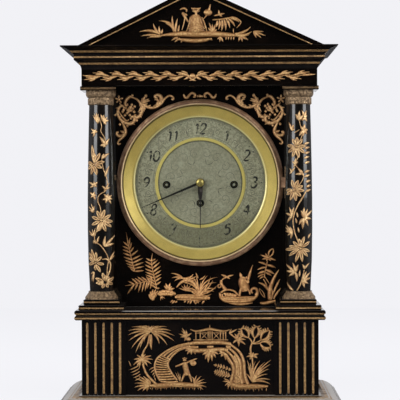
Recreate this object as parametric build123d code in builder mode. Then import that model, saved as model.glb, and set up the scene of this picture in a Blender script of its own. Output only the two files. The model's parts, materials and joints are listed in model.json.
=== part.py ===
"""Pedimented mantel clock: lacquered temple-front case, hinged bezel, three-train spring movement.

Millimetres, +Z up, the front faces -Y, origin at the middle of the plinth's underside.
"""
import os
from math import atan2, cos, degrees, hypot, pi, radians, sin

from build123d import *

# Case, overall
plinth_width = 346.0
plinth_height = 18.0
base_width = 286.0
base_height = 102.0
base_setback = 31.0
rear_setback = 4.0
board = 12.0
edge_chamfer = 1.0

# Base mouldings and pilasters
base_moulding_height = 10.5
base_moulding_projection = 27.0
base_moulding_lip = 2.0
base_moulding_top = 3.0
base_moulding_hollow = 3.2
base_cap_height = 12.0
base_cap_projection = 8.0
pilaster_width = 53.0
pilaster_thickness = 3.0
panel_recess = 4.0
stripe_count = 5
stripe_pitch = 9.9
stripe_width = 3.0
reed_rise = 1.1

# Columns
bezel_column_gap = 14.1
column_setback = 21.5
lower_block_width = 55.0
lower_block_height = 6.0
upper_block_width = 44.0
upper_block_height = 6.5
block_shift = 1.8
foot_bottom_radius = 20.0
foot_height = 9.0
foot_fillet = 1.6
foot_collar = 1.7
shaft_bottom_radius = 14.1
shaft_top_radius = 14.3
shaft_swell = 2.4
shaft_swell_power = 0.75
shaft_steps = 6
capital_height = 17.0
capital_top_radius = 18.2
capital_lip = 1.6
capital_swell = 1.2
capital_groove = 1.0
neck_projection = 0.4
abacus_width = 43.4
abacus_height = 5.0
abacus_shift = 1.6

# Trunk, frieze, cornice and pediment
trunk_width = 250.0
trunk_setback = 46.0
frieze_width = 284.0
frieze_height = 20.0
cornice_bed_height = 11.0
cornice_bed_projection = 8.4
cornice_fascia_height = 6.4
cornice_crown_height = 8.6
cornice_crown_projection = 15.0
cornice_lip = 1.2
cornice_quirk = 1.0
cornice_bulge = 1.6
left_eave = 148.0
right_eave = 152.4
ridge_shift = -3.8
pediment_rise = 72.0
roof_board = 7.0
tympanum_setback = 6.0

# Dial and bezel
dial_top_margin = 13.5
dial_rebate = 4.0
dial_thickness = 2.0
sight_width = 16.5
sight_lip = 2.2
sight_edge = 1.2
inner_ring_radius = 56.4
inner_ring_width = 3.8
inner_ring_thickness = 1.2
bezel_outer_radius = 103.0
bezel_width = 6.8
bezel_overhang = 0.8
bezel_depth = 10.7
bezel_rest_gap = 0.3
bezel_flat = 1.4
bezel_chamfer = 1.0
bezel_bulge = 1.2
glass_thickness = 2.0
glass_clearance = 0.2
bezel_hinge_length = 39.0
hinge_barrel_radius = 2.4
hinge_pin_radius = 1.2
bezel_hinge_offset = 3.4
hinge_leaf_thickness = 1.4
catch_length = 9.5
catch_width = 6.5
catch_rise = 6.5

# Hands
minute_hand_length = 79.0
hour_hand_length = 57.0
minute_hand_angle = 247.0
hour_hand_angle = 180.0
hand_thickness = 1.0
minute_hand_width = 3.2
hour_hand_width = 6.0
hand_point_width = 0.5
minute_hand_lift = 6.0
hour_hand_lift = 3.5
boss_radius = 5.0
boss_height = 3.4

# Movement frame
plate_thickness = 2.5
plate_width = 136.0
plate_below_centre = 63.5
plate_above_centre = 64.5
dial_to_plate = 16.0
plate_gap = 33.5
wheel_gap = 2.0
third_wheel_gap = 2.5
motion_gap = 3.0
dial_foot_lead = 8.0
seat_lead = 4.0
pillar_radius = 4.0
pillar_inset = 8.0
seat_board_height = 10.0
seat_board_depth = 44.0
cleat_size = 12.0

# Winding and barrels
winding_spread = 42.0
side_winding_drop = 2.5
going_winding_drop = 25.5
winding_arbor_radius = 3.0
winding_square = 4.2
winding_square_length = 4.6
winding_arbor_lead = 2.0
collet_width = 1.3
collet_thickness = 1.0
barrel_radius = 20.0
barrel_length = 16.0
great_wheel_thickness = 2.0

# Going train: tooth counts and places from the dial centre
great_teeth = 60
centre_pinion_leaves = 10
centre_teeth = 72
third_pinion_leaves = 6
third_teeth = 60
escape_pinion_leaves = 6
escape_teeth = 36
third_left = 14.0
third_rise = 16.0
escape_rise = 30.0
pallet_rise = 49.0
escape_radius = 14.0
escape_tooth_depth = 2.4
pallet_thickness = 1.7
pallet_drop = 8.5
anchor_half_span = 9.0
anchor_crown = 4.0
pallet_clearance = 0.5
wheel_thickness = 1.5
pinion_length = 3.0
arbor_radius = 1.5
hub_radius = 3.2

# Motion work
cannon_leaves = 12
minute_wheel_teeth = 36
minute_pinion_leaves = 10
hour_wheel_teeth = 40
minute_wheel_rise = 15.6
cannon_radius = 2.6
pipe_wall = 1.0

# Pendulum, gongs and hammers
pendulum_length = 168.0
pendulum_rod_width = 4.0
pendulum_rod_thickness = 1.6
bob_radius = 24.0
bob_thickness = 10.0
bob_edge = 1.6
bob_door_gap = 17.5
bob_floor_gap = 2.5
pendulum_offset = 6.0
rod_tail_length = 8.0
nut_drop = 4.0
nut_height = 3.0
crutch_length = 30.0
crutch_gap = 1.0
prong_width = 1.5
cock_gap = 0.7
cock_thickness = 2.0
cock_height = 6.0
gong_inner_radius = 10.0
gong_turns = 3
gong_pitch = 6.0
gong_wire_width = 2.0
gong_wire_depth = 3.0
gong_rise = 40.0
gong_lead = 7.5
gong_spacing = 12.0
gong_foot_height = 5.0
gong_foot_margin = 5.0
hammer_spread = 34.0
hammer_drop = 56.0
hammer_stem = 2.4
hammer_head_radius = 4.0
hammer_head_length = 12.0

# Rear door
door_thickness = 6.0
door_gap = 1.5
knob_radius = 5.0
knob_length = 3.2

# Clearances
running_clearance = 0.05
free_clearance = 0.3
wood_clearance = 0.4
seating_clearance = 0.02

# Dial opening and columns, worked out from the bezel
bezel_inner_radius = bezel_outer_radius - bezel_width
dial_opening_radius = bezel_inner_radius + bezel_overhang
dial_plate_radius = dial_opening_radius + dial_rebate
sight_inner_radius = dial_opening_radius - sight_width
column_spacing = 2 * (bezel_outer_radius + bezel_hinge_offset + bezel_column_gap)

# Case depth and trunk height, worked out from the movement and the pendulum that they hold
movement_depth = dial_to_plate + 2 * plate_thickness + plate_gap
pendulum_depth = pendulum_offset + bob_thickness / 2 + bob_door_gap
case_depth = trunk_setback + board + dial_thickness + movement_depth + pendulum_depth + door_thickness
plinth_depth = base_setback + case_depth + rear_setback
pendulum_reach = pendulum_length + bob_radius + rod_tail_length
dial_height = bob_floor_gap + pendulum_reach - pallet_rise
trunk_height = dial_height + bezel_outer_radius + dial_top_margin

# Levels and planes worked out from the sizes above
front_face = -plinth_depth / 2 + base_setback
rear_face = plinth_depth / 2 - rear_setback
plinth_top = plinth_height
cap_bottom = plinth_top + base_height
cap_top = cap_bottom + base_cap_height
trunk_top = cap_top + trunk_height
frieze_top = trunk_top + frieze_height
cornice_height = cornice_bed_height + cornice_fascia_height + cornice_crown_height + cornice_lip
cornice_top = frieze_top + cornice_height
cornice_projection = cornice_bed_projection + cornice_crown_projection
trunk_front = front_face + trunk_setback
trunk_back = rear_face - door_thickness
column_x = column_spacing / 2
column_y = front_face + column_setback
block_top = cap_top + lower_block_height + upper_block_height
shaft_bottom = block_top + foot_height
abacus_bottom = trunk_top - abacus_height
shaft_top = abacus_bottom - capital_height
dial_z = cap_top + dial_height
dial_front = trunk_front + board
dial_back = dial_front + dial_thickness
plate_front = dial_back + dial_to_plate
plate_back = plate_front + plate_thickness
rear_plate_front = plate_back + plate_gap
rear_plate_back = rear_plate_front + plate_thickness
seat_top = dial_z - plate_below_centre
seat_front = plate_front - seat_lead
inner_half_width = trunk_width / 2 - board

# Places of the arbors in the movement, as (x, z)
centre_place = (0.0, dial_z)
going_place = (0.0, dial_z - going_winding_drop)
strike_place = (-winding_spread, dial_z - side_winding_drop)
quarter_place = (winding_spread, dial_z - side_winding_drop)
third_place = (-third_left, dial_z + third_rise)
escape_place = (0.0, dial_z + escape_rise)
pallet_place = (0.0, dial_z + pallet_rise)
minute_wheel_place = (0.0, dial_z + minute_wheel_rise)
strike_hammer_place = (-hammer_spread, dial_z - hammer_drop)
quarter_hammer_place = (hammer_spread, dial_z - hammer_drop)

# Depths of the wheels between the plates
centre_wheel_y = plate_back + wheel_gap
third_wheel_y = centre_wheel_y + wheel_thickness + third_wheel_gap
barrel_y = third_wheel_y + wheel_thickness + wheel_gap
great_wheel_y = barrel_y + barrel_length
escape_wheel_y = great_wheel_y + great_wheel_thickness + wheel_gap

# Depths of the motion work in front of the plate
cannon_teeth_y = plate_front - motion_gap - pinion_length
hour_wheel_y = cannon_teeth_y - third_wheel_gap - wheel_thickness
hour_hand_y = dial_front - hour_hand_lift
minute_hand_y = dial_front - minute_hand_lift

os.makedirs("parts", exist_ok=True)


def save(piece, label):
    """Label a finished sub-part and write it to its own file."""
    piece.part.label = label
    export_step(piece.part, f"parts/{label}.step")


def facing(x, y, z):
    """Plane whose normal points to the front, with sketch x to the right and sketch y up."""
    return Plane(origin=(x, y, z), x_dir=(1, 0, 0), z_dir=(0, -1, 0))


def distance(place_a, place_b):
    """Distance between two arbors in the plane of the movement."""
    return hypot(place_b[0] - place_a[0], place_b[1] - place_a[1])


def bearing(place_a, place_b):
    """Direction from one arbor to another, in degrees from +X towards +Z."""
    return degrees(atan2(place_b[1] - place_a[1], place_b[0] - place_a[0]))


def disc(place, radius, y_front, y_back, mode=Mode.ADD):
    """Round plate or shaft along Y between two depths, inside the part that is being built."""
    with BuildSketch(facing(place[0], y_back, place[1])) as section:
        Circle(radius)
    extrude(section.sketch, amount=y_back - y_front, mode=mode)


def ring(place, outer, inner, y_front, y_back):
    """Tube along Y between two depths, inside the part that is being built."""
    with BuildSketch(facing(place[0], y_back, place[1])) as section:
        Circle(outer)
        Circle(inner, mode=Mode.SUBTRACT)
    extrude(section.sketch, amount=y_back - y_front)


def toothed_wheel(place, teeth, module, tooth_angle, y_front, y_back, bore=0.0):
    """Spur wheel with straight-flanked teeth; one tooth points along tooth_angle."""
    tip = module * (teeth / 2 + 0.9)
    root = module * (teeth / 2 - 1.25)
    pitch = 2 * pi / teeth
    start = radians(tooth_angle)
    outline = []
    for tooth in range(teeth):
        middle = start + tooth * pitch
        for radius, share in ((root, -0.27), (tip, -0.1), (tip, 0.1), (root, 0.27)):
            angle = middle + share * pitch
            outline.append((radius * cos(angle), radius * sin(angle)))
    with BuildSketch(facing(place[0], y_back, place[1])) as section:
        with BuildLine():
            Polyline(outline, close=True)
        make_face()
        if bore:
            Circle(bore, mode=Mode.SUBTRACT)
    extrude(section.sketch, amount=y_back - y_front)


def edge_lines(steps, half, back, low):
    """Closed outline of a slab whose edge follows (out, up, bulge) steps from its lower corner."""
    first = (half + steps[0][0], low + steps[0][1])
    Line((back, low), first)
    last = first
    for out, up, bulge in steps[1:]:
        point = (half + out, low + up)
        if bulge:
            SagittaArc(last, point, bulge)
        else:
            Line(last, point)
        last = point
    Line(last, (back, last[1]))
    Line((back, last[1]), (back, low))


def moulded_slab(steps, width, front, back, low, middle=0.0):
    """Slab with one moulded edge on its front and both sides, mitred at the corners."""
    side_plane = Plane(origin=(middle, 0, 0), x_dir=(0, -1, 0), z_dir=(-1, 0, 0))
    with BuildPart() as slab:
        with BuildSketch(facing(middle, 0, 0)):
            with BuildLine():
                edge_lines(steps, width / 2, 0, low)
            make_face()
            mirror(about=Plane.YZ)
        extrude(amount=2 * plinth_depth, both=True)
        with BuildSketch(side_plane):
            with BuildLine():
                edge_lines(steps, -front, -back, low)
            make_face()
        extrude(amount=plinth_width, both=True, mode=Mode.INTERSECT)
    return slab.part


def reeded_edge(height):
    """Steps of an edge with two half-round reeds and a square fillet between them."""
    fillet_height = height / 9
    reed = (height - fillet_height) / 2
    quirk = -reed / 3
    return [(quirk, 0, 0), (quirk, reed, quirk), (quirk, reed + fillet_height, 0), (quirk, height, quirk)]


# Plinth and base
with BuildPart() as plinth:
    with BuildSketch():
        Rectangle(plinth_width, plinth_depth)
    extrude(amount=plinth_height)
    chamfer(plinth.faces().sort_by(Axis.Z)[-1].edges(), length=edge_chamfer)
save(plinth, "plinth")

moulding_steps = [
    (base_moulding_projection, 0, 0),
    (base_moulding_projection, base_moulding_lip, 0),
    (base_moulding_top, base_moulding_height - base_moulding_lip, -base_moulding_hollow),
    (base_moulding_top, base_moulding_height, 0),
]
with BuildPart() as base_moulding:
    add(moulded_slab(moulding_steps, base_width, front_face, rear_face, plinth_top))
    with Locations((0, (front_face + rear_face) / 2 + pilaster_thickness, plinth_top)):
        Box(
            base_width,
            rear_face - front_face + 2 * pilaster_thickness,
            2 * base_moulding_height,
            mode=Mode.SUBTRACT,
        )
    with BuildSketch(Plane.XY.offset(plinth_top)):
        with Locations((0, front_face + panel_recess / 2)):
            Rectangle(base_width - 2 * pilaster_width, panel_recess)
    extrude(amount=base_moulding_height)
save(base_moulding, "base_moulding")

panel_front = front_face + panel_recess
with BuildPart() as base_front:
    with BuildSketch(facing(0, panel_front + board, (plinth_top + cap_bottom) / 2)):
        Rectangle(base_width, base_height)
    extrude(amount=board)
    with BuildSketch(facing(0, panel_front, (plinth_top + cap_bottom) / 2)):
        with Locations((-(base_width - pilaster_width) / 2, 0), ((base_width - pilaster_width) / 2, 0)):
            Rectangle(pilaster_width, base_height)
    extrude(amount=panel_recess - pilaster_thickness)
save(base_front, "base_front")

with BuildPart() as base_pilasters:
    for side in (-1, 1):
        pilaster_x = side * (base_width - pilaster_width) / 2
        with BuildSketch(Plane.XY.offset(plinth_top)):
            with Locations((pilaster_x, front_face + pilaster_thickness / 2 + reed_rise / 2)):
                Rectangle(pilaster_width, pilaster_thickness - reed_rise)
            for gap in range(stripe_count - 1):
                reed_x = pilaster_x + (gap - (stripe_count - 2) / 2) * stripe_pitch
                half_reed = (stripe_pitch - stripe_width) / 2
                reed_start = (reed_x - half_reed, front_face + reed_rise)
                reed_end = (reed_x + half_reed, front_face + reed_rise)
                with BuildLine():
                    Line(reed_start, reed_end)
                    ThreePointArc(reed_end, (reed_x, front_face), reed_start)
                make_face()
        extrude(amount=base_height)
save(base_pilasters, "base_pilasters")

with BuildPart() as base_sides:
    for side in (-1, 1):
        with BuildSketch(Plane.XY.offset(plinth_top)):
            with Locations((side * (base_width - board) / 2, (panel_front + board + rear_face) / 2)):
                Rectangle(board, rear_face - panel_front - board)
        extrude(amount=base_height)
save(base_sides, "base_sides")

with BuildPart() as base_back:
    with BuildSketch(Plane.XY.offset(plinth_top)):
        with Locations((0, rear_face - board / 2)):
            Rectangle(base_width - 2 * board, board)
    extrude(amount=base_height)
save(base_back, "base_back")

with BuildPart() as base_cap:
    add(
        moulded_slab(
            reeded_edge(base_cap_height),
            base_width + 2 * base_cap_projection,
            front_face - base_cap_projection,
            rear_face,
            cap_bottom,
        )
    )
save(base_cap, "base_cap")

# Columns on their stepped blocks
with BuildPart() as column_blocks:
    for side in (-1, 1):
        for width, height, low in (
            (lower_block_width, lower_block_height, cap_top),
            (upper_block_width, upper_block_height, cap_top + lower_block_height),
        ):
            add(
                moulded_slab(
                    reeded_edge(height),
                    width,
                    column_y - width / 2,
                    trunk_front,
                    low,
                    side * (column_x - block_shift),
                )
            )
save(column_blocks, "column_blocks")

with BuildPart() as column_feet:
    for side in (-1, 1):
        with BuildSketch(facing(side * column_x, column_y, 0)):
            with BuildLine():
                Polyline(
                    (0, shaft_bottom),
                    (0, block_top),
                    (foot_bottom_radius, block_top),
                    (foot_bottom_radius, block_top + foot_fillet),
                    (shaft_bottom_radius + foot_collar, shaft_bottom - foot_fillet),
                    (shaft_bottom_radius + foot_collar, shaft_bottom),
                    close=True,
                )
            make_face()
        revolve(axis=Axis((side * column_x, column_y, 0), (0, 0, 1)))
save(column_feet, "column_feet")


def shaft_point(share):
    """Radius and level of a shaft at a share of its height: an even taper and a swell below the middle."""
    taper = shaft_bottom_radius + (shaft_top_radius - shaft_bottom_radius) * share
    swell = shaft_swell * sin(pi * share**shaft_swell_power)
    return (taper + swell, shaft_bottom + (shaft_top - shaft_bottom) * share)


shaft_points = [shaft_point(step / shaft_steps) for step in range(shaft_steps + 1)]
for side_name, side in (("left", -1), ("right", 1)):
    with BuildPart() as column_shaft:
        with BuildSketch(facing(side * column_x, column_y, 0)):
            with BuildLine():
                Polyline((0, shaft_bottom), *shaft_points, (0, shaft_top), close=True)
            make_face()
        revolve(axis=Axis((side * column_x, column_y, 0), (0, 0, 1)))
    save(column_shaft, f"{side_name}_column_shaft")

neck_radius = shaft_top_radius + neck_projection
groove_height = shaft_top + 0.55 * capital_height
with BuildPart() as column_capitals:
    for side in (-1, 1):
        with BuildSketch(facing(side * column_x, column_y, 0)):
            with BuildLine():
                Polyline(
                    (0, abacus_bottom),
                    (0, shaft_top),
                    (neck_radius, shaft_top),
                    (neck_radius + capital_swell, shaft_top + capital_swell),
                    (neck_radius + capital_swell, groove_height - capital_groove),
                    (neck_radius, groove_height - capital_groove),
                    (neck_radius, groove_height),
                    (neck_radius + capital_lip, groove_height),
                )
                SagittaArc(
                    (neck_radius + capital_lip, groove_height),
                    (capital_top_radius, abacus_bottom - capital_lip),
                    -capital_lip / 2,
                )
                Polyline(
                    (capital_top_radius, abacus_bottom - capital_lip),
                    (capital_top_radius, abacus_bottom),
                    (0, abacus_bottom),
                )
            make_face()
        revolve(axis=Axis((side * column_x, column_y, 0), (0, 0, 1)))
save(column_capitals, "column_capitals")

with BuildPart() as column_abaci:
    for side in (-1, 1):
        add(
            moulded_slab(
                reeded_edge(abacus_height),
                abacus_width,
                column_y - abacus_width / 2,
                trunk_front,
                abacus_bottom,
                side * (column_x + abacus_shift),
            )
        )
save(column_abaci, "column_abaci")

# Trunk
with BuildPart() as trunk_board:
    with BuildSketch(facing(0, dial_front, (cap_top + trunk_top) / 2)):
        Rectangle(trunk_width, trunk_height)
        with Locations((0, dial_z - (cap_top + trunk_top) / 2)):
            Circle(dial_opening_radius, mode=Mode.SUBTRACT)
    extrude(amount=board)
save(trunk_board, "trunk_front")

with BuildPart() as trunk_sides:
    with BuildSketch(Plane.XY.offset(cap_top)):
        for side in (-1, 1):
            with Locations((side * (trunk_width - board) / 2, (dial_front + trunk_back) / 2)):
                Rectangle(board, trunk_back - dial_front)
    extrude(amount=trunk_height)
save(trunk_sides, "trunk_sides")

# Entablature and pediment
with BuildPart() as frieze:
    with BuildSketch(Plane.XY.offset(trunk_top)):
        with Locations((0, (front_face + rear_face) / 2)):
            Rectangle(frieze_width, rear_face - front_face)
    extrude(amount=frieze_height)
    chamfer(frieze.edges().group_by(Axis.Z)[0].sort_by(Axis.Y)[0], length=edge_chamfer)
save(frieze, "frieze")

fascia_low = cornice_bed_height
fascia_high = fascia_low + cornice_fascia_height
crown_high = fascia_high + cornice_crown_height
cornice_steps = [
    (0, 0, 0),
    (cornice_bed_projection - cornice_quirk, fascia_low, cornice_bulge),
    (cornice_bed_projection, fascia_low, 0),
    (cornice_bed_projection, fascia_high, 0),
    (cornice_projection, crown_high, cornice_bulge),
    (cornice_projection, cornice_height, 0),
]
with BuildPart() as cornice:
    add(moulded_slab(cornice_steps, frieze_width, front_face, rear_face, frieze_top))
save(cornice, "cornice")

roof_front = front_face - cornice_bed_projection
left_run = left_eave + ridge_shift
right_run = right_eave - ridge_shift
upright_thickness = roof_board / cos(atan2(pediment_rise, left_run))
inner_apex = cornice_top + pediment_rise - upright_thickness
inner_share = 1 - upright_thickness / pediment_rise
inner_left = ridge_shift - left_run * inner_share
inner_right = ridge_shift + right_run * inner_share
roof_sides = (("left", -left_eave, inner_left), ("right", right_eave, inner_right))
for side_name, eave, inner_foot in roof_sides:
    with BuildPart() as roof:
        with BuildSketch(facing(0, rear_face, 0)):
            with BuildLine():
                Polyline(
                    (eave, cornice_top),
                    (ridge_shift, cornice_top + pediment_rise),
                    (ridge_shift, inner_apex),
                    (inner_foot, cornice_top),
                    close=True,
                )
            make_face()
        extrude(amount=rear_face - roof_front)
    save(roof, f"{side_name}_roof_board")

gables = (("tympanum", roof_front + tympanum_setback), ("rear_gable", rear_face - board))
for gable_name, gable_front in gables:
    with BuildPart() as gable:
        with BuildSketch(facing(0, gable_front + board, 0)):
            with BuildLine():
                Polyline(
                    (inner_left, cornice_top),
                    (ridge_shift, inner_apex),
                    (inner_right, cornice_top),
                    close=True,
                )
            make_face()
        extrude(amount=board)
    save(gable, gable_name)

# Rear door on two butt hinges
door_hinge_x = trunk_width / 2 + hinge_barrel_radius
door_hinge_y = rear_face + hinge_pin_radius
door_low = cap_top + door_gap
door_high = trunk_top - door_gap
hinge_levels = (door_low + 0.2 * trunk_height, door_high - 0.2 * trunk_height)
leaf_half = bezel_hinge_length / 2
knuckle = bezel_hinge_length / 3
with BuildPart() as rear_door:
    with BuildSketch(facing(0, rear_face, (door_low + door_high) / 2)):
        Rectangle(trunk_width, door_high - door_low)
    extrude(amount=door_thickness - free_clearance)
    fillet(rear_door.edges().filter_by(Axis.Z).sort_by(Axis.X)[:2], radius=edge_chamfer)
    for level in hinge_levels:
        with BuildSketch(Plane.XY.offset(level - knuckle / 2 + free_clearance)):
            with Locations((door_hinge_x, door_hinge_y)):
                Circle(hinge_barrel_radius)
            with Locations((trunk_width / 2, rear_face)):
                Rectangle(2 * hinge_barrel_radius, hinge_barrel_radius)
            with Locations((door_hinge_x, door_hinge_y)):
                Circle(hinge_pin_radius + running_clearance, mode=Mode.SUBTRACT)
        extrude(amount=knuckle - 2 * free_clearance)
save(rear_door, "rear_door")

with BuildPart() as door_knob:
    knob_place = (-trunk_width / 2 + 4 * knob_radius, (door_low + door_high) / 2)
    disc(knob_place, 0.6 * knob_radius, rear_face, rear_face + knob_length / 2)
    disc(knob_place, knob_radius, rear_face + knob_length / 2, rear_face + knob_length)
    chamfer(door_knob.edges().sort_by(Axis.Y)[-1], length=0.3 * knob_length)
save(door_knob, "door_knob")

with BuildPart() as door_hinges:
    for level in hinge_levels:
        for end in (-1, 1):
            low = level + end * knuckle - knuckle / 2
            with BuildSketch(Plane.XY.offset(low)):
                with Locations((door_hinge_x, door_hinge_y)):
                    Circle(hinge_barrel_radius)
                with Locations((trunk_width / 2 + hinge_barrel_radius / 2, door_hinge_y - knob_radius)):
                    Rectangle(hinge_barrel_radius, 2 * knob_radius)
            extrude(amount=knuckle)
        with BuildSketch(Plane.XY.offset(level - leaf_half)):
            with Locations((door_hinge_x, door_hinge_y)):
                Circle(hinge_pin_radius)
        extrude(amount=2 * leaf_half)
save(door_hinges, "door_hinges")

# Seat board for the movement, on two cleats
gong_front_y = plate_back + gong_lead
gong_rear_y = gong_front_y + gong_spacing
hammers = (
    ("strike", -1, strike_hammer_place, gong_front_y),
    ("quarter", 1, quarter_hammer_place, gong_rear_y),
)
seat_bottom = seat_top - seat_board_height
seat_middle = seat_front + seat_board_depth / 2
with BuildPart() as seat_board:
    with BuildSketch(Plane.XY.offset(seat_bottom)):
        with Locations((0, seat_middle)):
            Rectangle(2 * inner_half_width, seat_board_depth)
        for name, side, place, depth in hammers:
            with Locations((place[0] + side * hammer_stem, depth)):
                Rectangle(6 * hammer_stem, 3 * hammer_stem, mode=Mode.SUBTRACT)
    extrude(amount=seat_board_height)
save(seat_board, "seat_board")

with BuildPart() as seat_cleats:
    with BuildSketch(Plane.XY.offset(seat_bottom - cleat_size)):
        for side in (-1, 1):
            with Locations((side * (inner_half_width - cleat_size / 2), seat_middle)):
                Rectangle(cleat_size, seat_board_depth)
    extrude(amount=cleat_size)
save(seat_cleats, "seat_cleats")

# Dial with its feet, rings and winding collets
pipe_inner = cannon_radius + running_clearance
pipe_outer = pipe_inner + pipe_wall
winding_places = (strike_place, going_place, quarter_place)
winding_hole = winding_arbor_radius + wood_clearance
foot_spread = 0.62 * dial_opening_radius / 2 ** 0.5 + dial_foot_lead
with BuildPart() as dial_plate:
    disc(centre_place, dial_plate_radius, dial_front, dial_back)
    for side in (-1, 1):
        for level in (-1, 1):
            foot_place = (side * foot_spread, dial_z + level * foot_spread)
            disc(foot_place, pillar_radius / 2, dial_back, plate_front)
    disc(centre_place, pipe_outer + wood_clearance, dial_front, dial_back, Mode.SUBTRACT)
    for place in winding_places:
        disc(place, winding_hole, dial_front, dial_back, Mode.SUBTRACT)
save(dial_plate, "dial_plate")

with BuildPart() as dial_ring:
    ring_inner = inner_ring_radius - inner_ring_width
    ring(centre_place, inner_ring_radius, ring_inner, dial_front - inner_ring_thickness, dial_front)
    chamfer(dial_ring.faces().sort_by(Axis.Y)[0].edges(), length=0.4 * inner_ring_thickness)
save(dial_ring, "dial_ring")

with BuildPart() as winding_collets:
    for place in winding_places:
        ring(place, winding_hole + collet_width, winding_hole, dial_front - collet_thickness, dial_front)
save(winding_collets, "winding_collets")

dial_axis = Axis((0, 0, dial_z), (0, 1, 0))
sight_outer = dial_opening_radius - free_clearance
with BuildPart() as sight_ring:
    with BuildSketch(Plane.XY.offset(dial_z)):
        with BuildLine():
            Polyline(
                (sight_inner_radius, dial_front),
                (sight_outer, dial_front),
                (sight_outer, trunk_front),
                (sight_outer - sight_edge, trunk_front),
                (sight_inner_radius + 2 * sight_lip, dial_front - 1.2 * sight_lip),
                (sight_inner_radius + sight_lip, dial_front - sight_lip),
                (sight_inner_radius + 0.3 * sight_lip, dial_front - 0.7 * sight_lip),
                close=True,
            )
        make_face()
    revolve(axis=dial_axis)
save(sight_ring, "sight_ring")

# Hinged bezel with its glass, hinge bracket and catch
bezel_back = trunk_front - bezel_rest_gap
bezel_front = bezel_back - bezel_depth
glass_seat = bezel_inner_radius + glass_thickness
glass_front = bezel_front + 0.37 * bezel_depth
hinge_x = bezel_outer_radius + bezel_hinge_offset
hinge_y = bezel_front + bezel_chamfer
third_length = bezel_hinge_length / 3
with BuildPart() as bezel_ring:
    with BuildSketch(Plane.XY.offset(dial_z)):
        with BuildLine():
            Polyline(
                (bezel_outer_radius, bezel_back - 0.4 * bezel_depth),
                (bezel_outer_radius, bezel_back),
                (glass_seat, bezel_back),
                (glass_seat, glass_front),
                (bezel_inner_radius, glass_front),
                (bezel_inner_radius, bezel_front + 0.15 * bezel_depth),
                (bezel_inner_radius + bezel_chamfer, bezel_front),
                (bezel_inner_radius + bezel_chamfer + bezel_flat, bezel_front),
            )
            SagittaArc(
                (bezel_inner_radius + bezel_chamfer + bezel_flat, bezel_front),
                (bezel_outer_radius, bezel_back - 0.4 * bezel_depth),
                -bezel_bulge,
            )
        make_face()
    revolve(axis=dial_axis)
    with BuildSketch(Plane.XY.offset(dial_z - third_length / 2 + free_clearance)):
        with Locations((hinge_x, hinge_y)):
            Circle(hinge_barrel_radius)
        with Locations((bezel_outer_radius, hinge_y + hinge_barrel_radius)):
            Rectangle(2 * bezel_hinge_offset, 2 * hinge_barrel_radius)
        with Locations((hinge_x, hinge_y)):
            Circle(hinge_pin_radius + running_clearance, mode=Mode.SUBTRACT)
    extrude(amount=third_length - 2 * free_clearance)
save(bezel_ring, "bezel_ring")

with BuildPart() as bezel_glass:
    disc(centre_place, glass_seat - glass_clearance, glass_front, glass_front + glass_thickness)
save(bezel_glass, "bezel_glass")

with BuildPart() as bezel_hinge:
    for end in (-1, 1):
        low = dial_z + end * third_length - third_length / 2
        with BuildSketch(Plane.XY.offset(low)):
            with Locations((hinge_x, hinge_y)):
                Circle(hinge_barrel_radius)
            with Locations((hinge_x + hinge_barrel_radius / 2, (hinge_y + trunk_front) / 2)):
                Rectangle(hinge_barrel_radius, trunk_front - hinge_y)
        extrude(amount=third_length)
    with BuildSketch(Plane.XY.offset(dial_z - bezel_hinge_length / 2)):
        with Locations((hinge_x, hinge_y)):
            Circle(hinge_pin_radius)
        with Locations((hinge_x + 2 * hinge_barrel_radius, trunk_front - hinge_leaf_thickness / 2)):
            Rectangle(4 * hinge_barrel_radius, hinge_leaf_thickness)
    extrude(amount=bezel_hinge_length)
save(bezel_hinge, "bezel_hinge")

catch_tip = -bezel_outer_radius - wood_clearance
with BuildPart() as bezel_catch:
    with BuildSketch(facing(catch_tip, trunk_front, dial_z + catch_rise)):
        with BuildLine():
            Polyline(
                (-0.4 * catch_length, catch_width / 2),
                (0, catch_width / 2),
                (0, -catch_width / 2),
                (-0.4 * catch_length, -catch_width / 2),
            )
            ThreePointArc(
                (-0.4 * catch_length, -catch_width / 2),
                (-catch_length, 0),
                (-0.4 * catch_length, catch_width / 2),
            )
        make_face()
    extrude(amount=0.75 * bezel_depth)
    chamfer(bezel_catch.faces().sort_by(Axis.Y)[0].edges(), length=edge_chamfer)
save(bezel_catch, "bezel_catch")


# Hands, pointing as they stand at rest
def hand_plane(y, clockwise):
    """Plane at a depth whose sketch y axis points along the hand, clockwise from twelve."""
    turn = radians(clockwise)
    return Plane(origin=(0, y, dial_z), x_dir=(cos(turn), 0, -sin(turn)), z_dir=(0, -1, 0))


with BuildPart() as minute_hand:
    with BuildSketch(hand_plane(minute_hand_y, minute_hand_angle)):
        with BuildLine():
            Polyline(
                (-minute_hand_width / 2, 0),
                (-minute_hand_width / 3, 0.5 * minute_hand_length),
                (-hand_point_width / 2, minute_hand_length),
                (hand_point_width / 2, minute_hand_length),
                (minute_hand_width / 3, 0.5 * minute_hand_length),
                (minute_hand_width / 2, 0),
                close=True,
            )
        make_face()
        Circle(1.6 * cannon_radius)
        Circle(cannon_radius + seating_clearance, mode=Mode.SUBTRACT)
    extrude(amount=hand_thickness)
save(minute_hand, "minute_hand")

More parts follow.
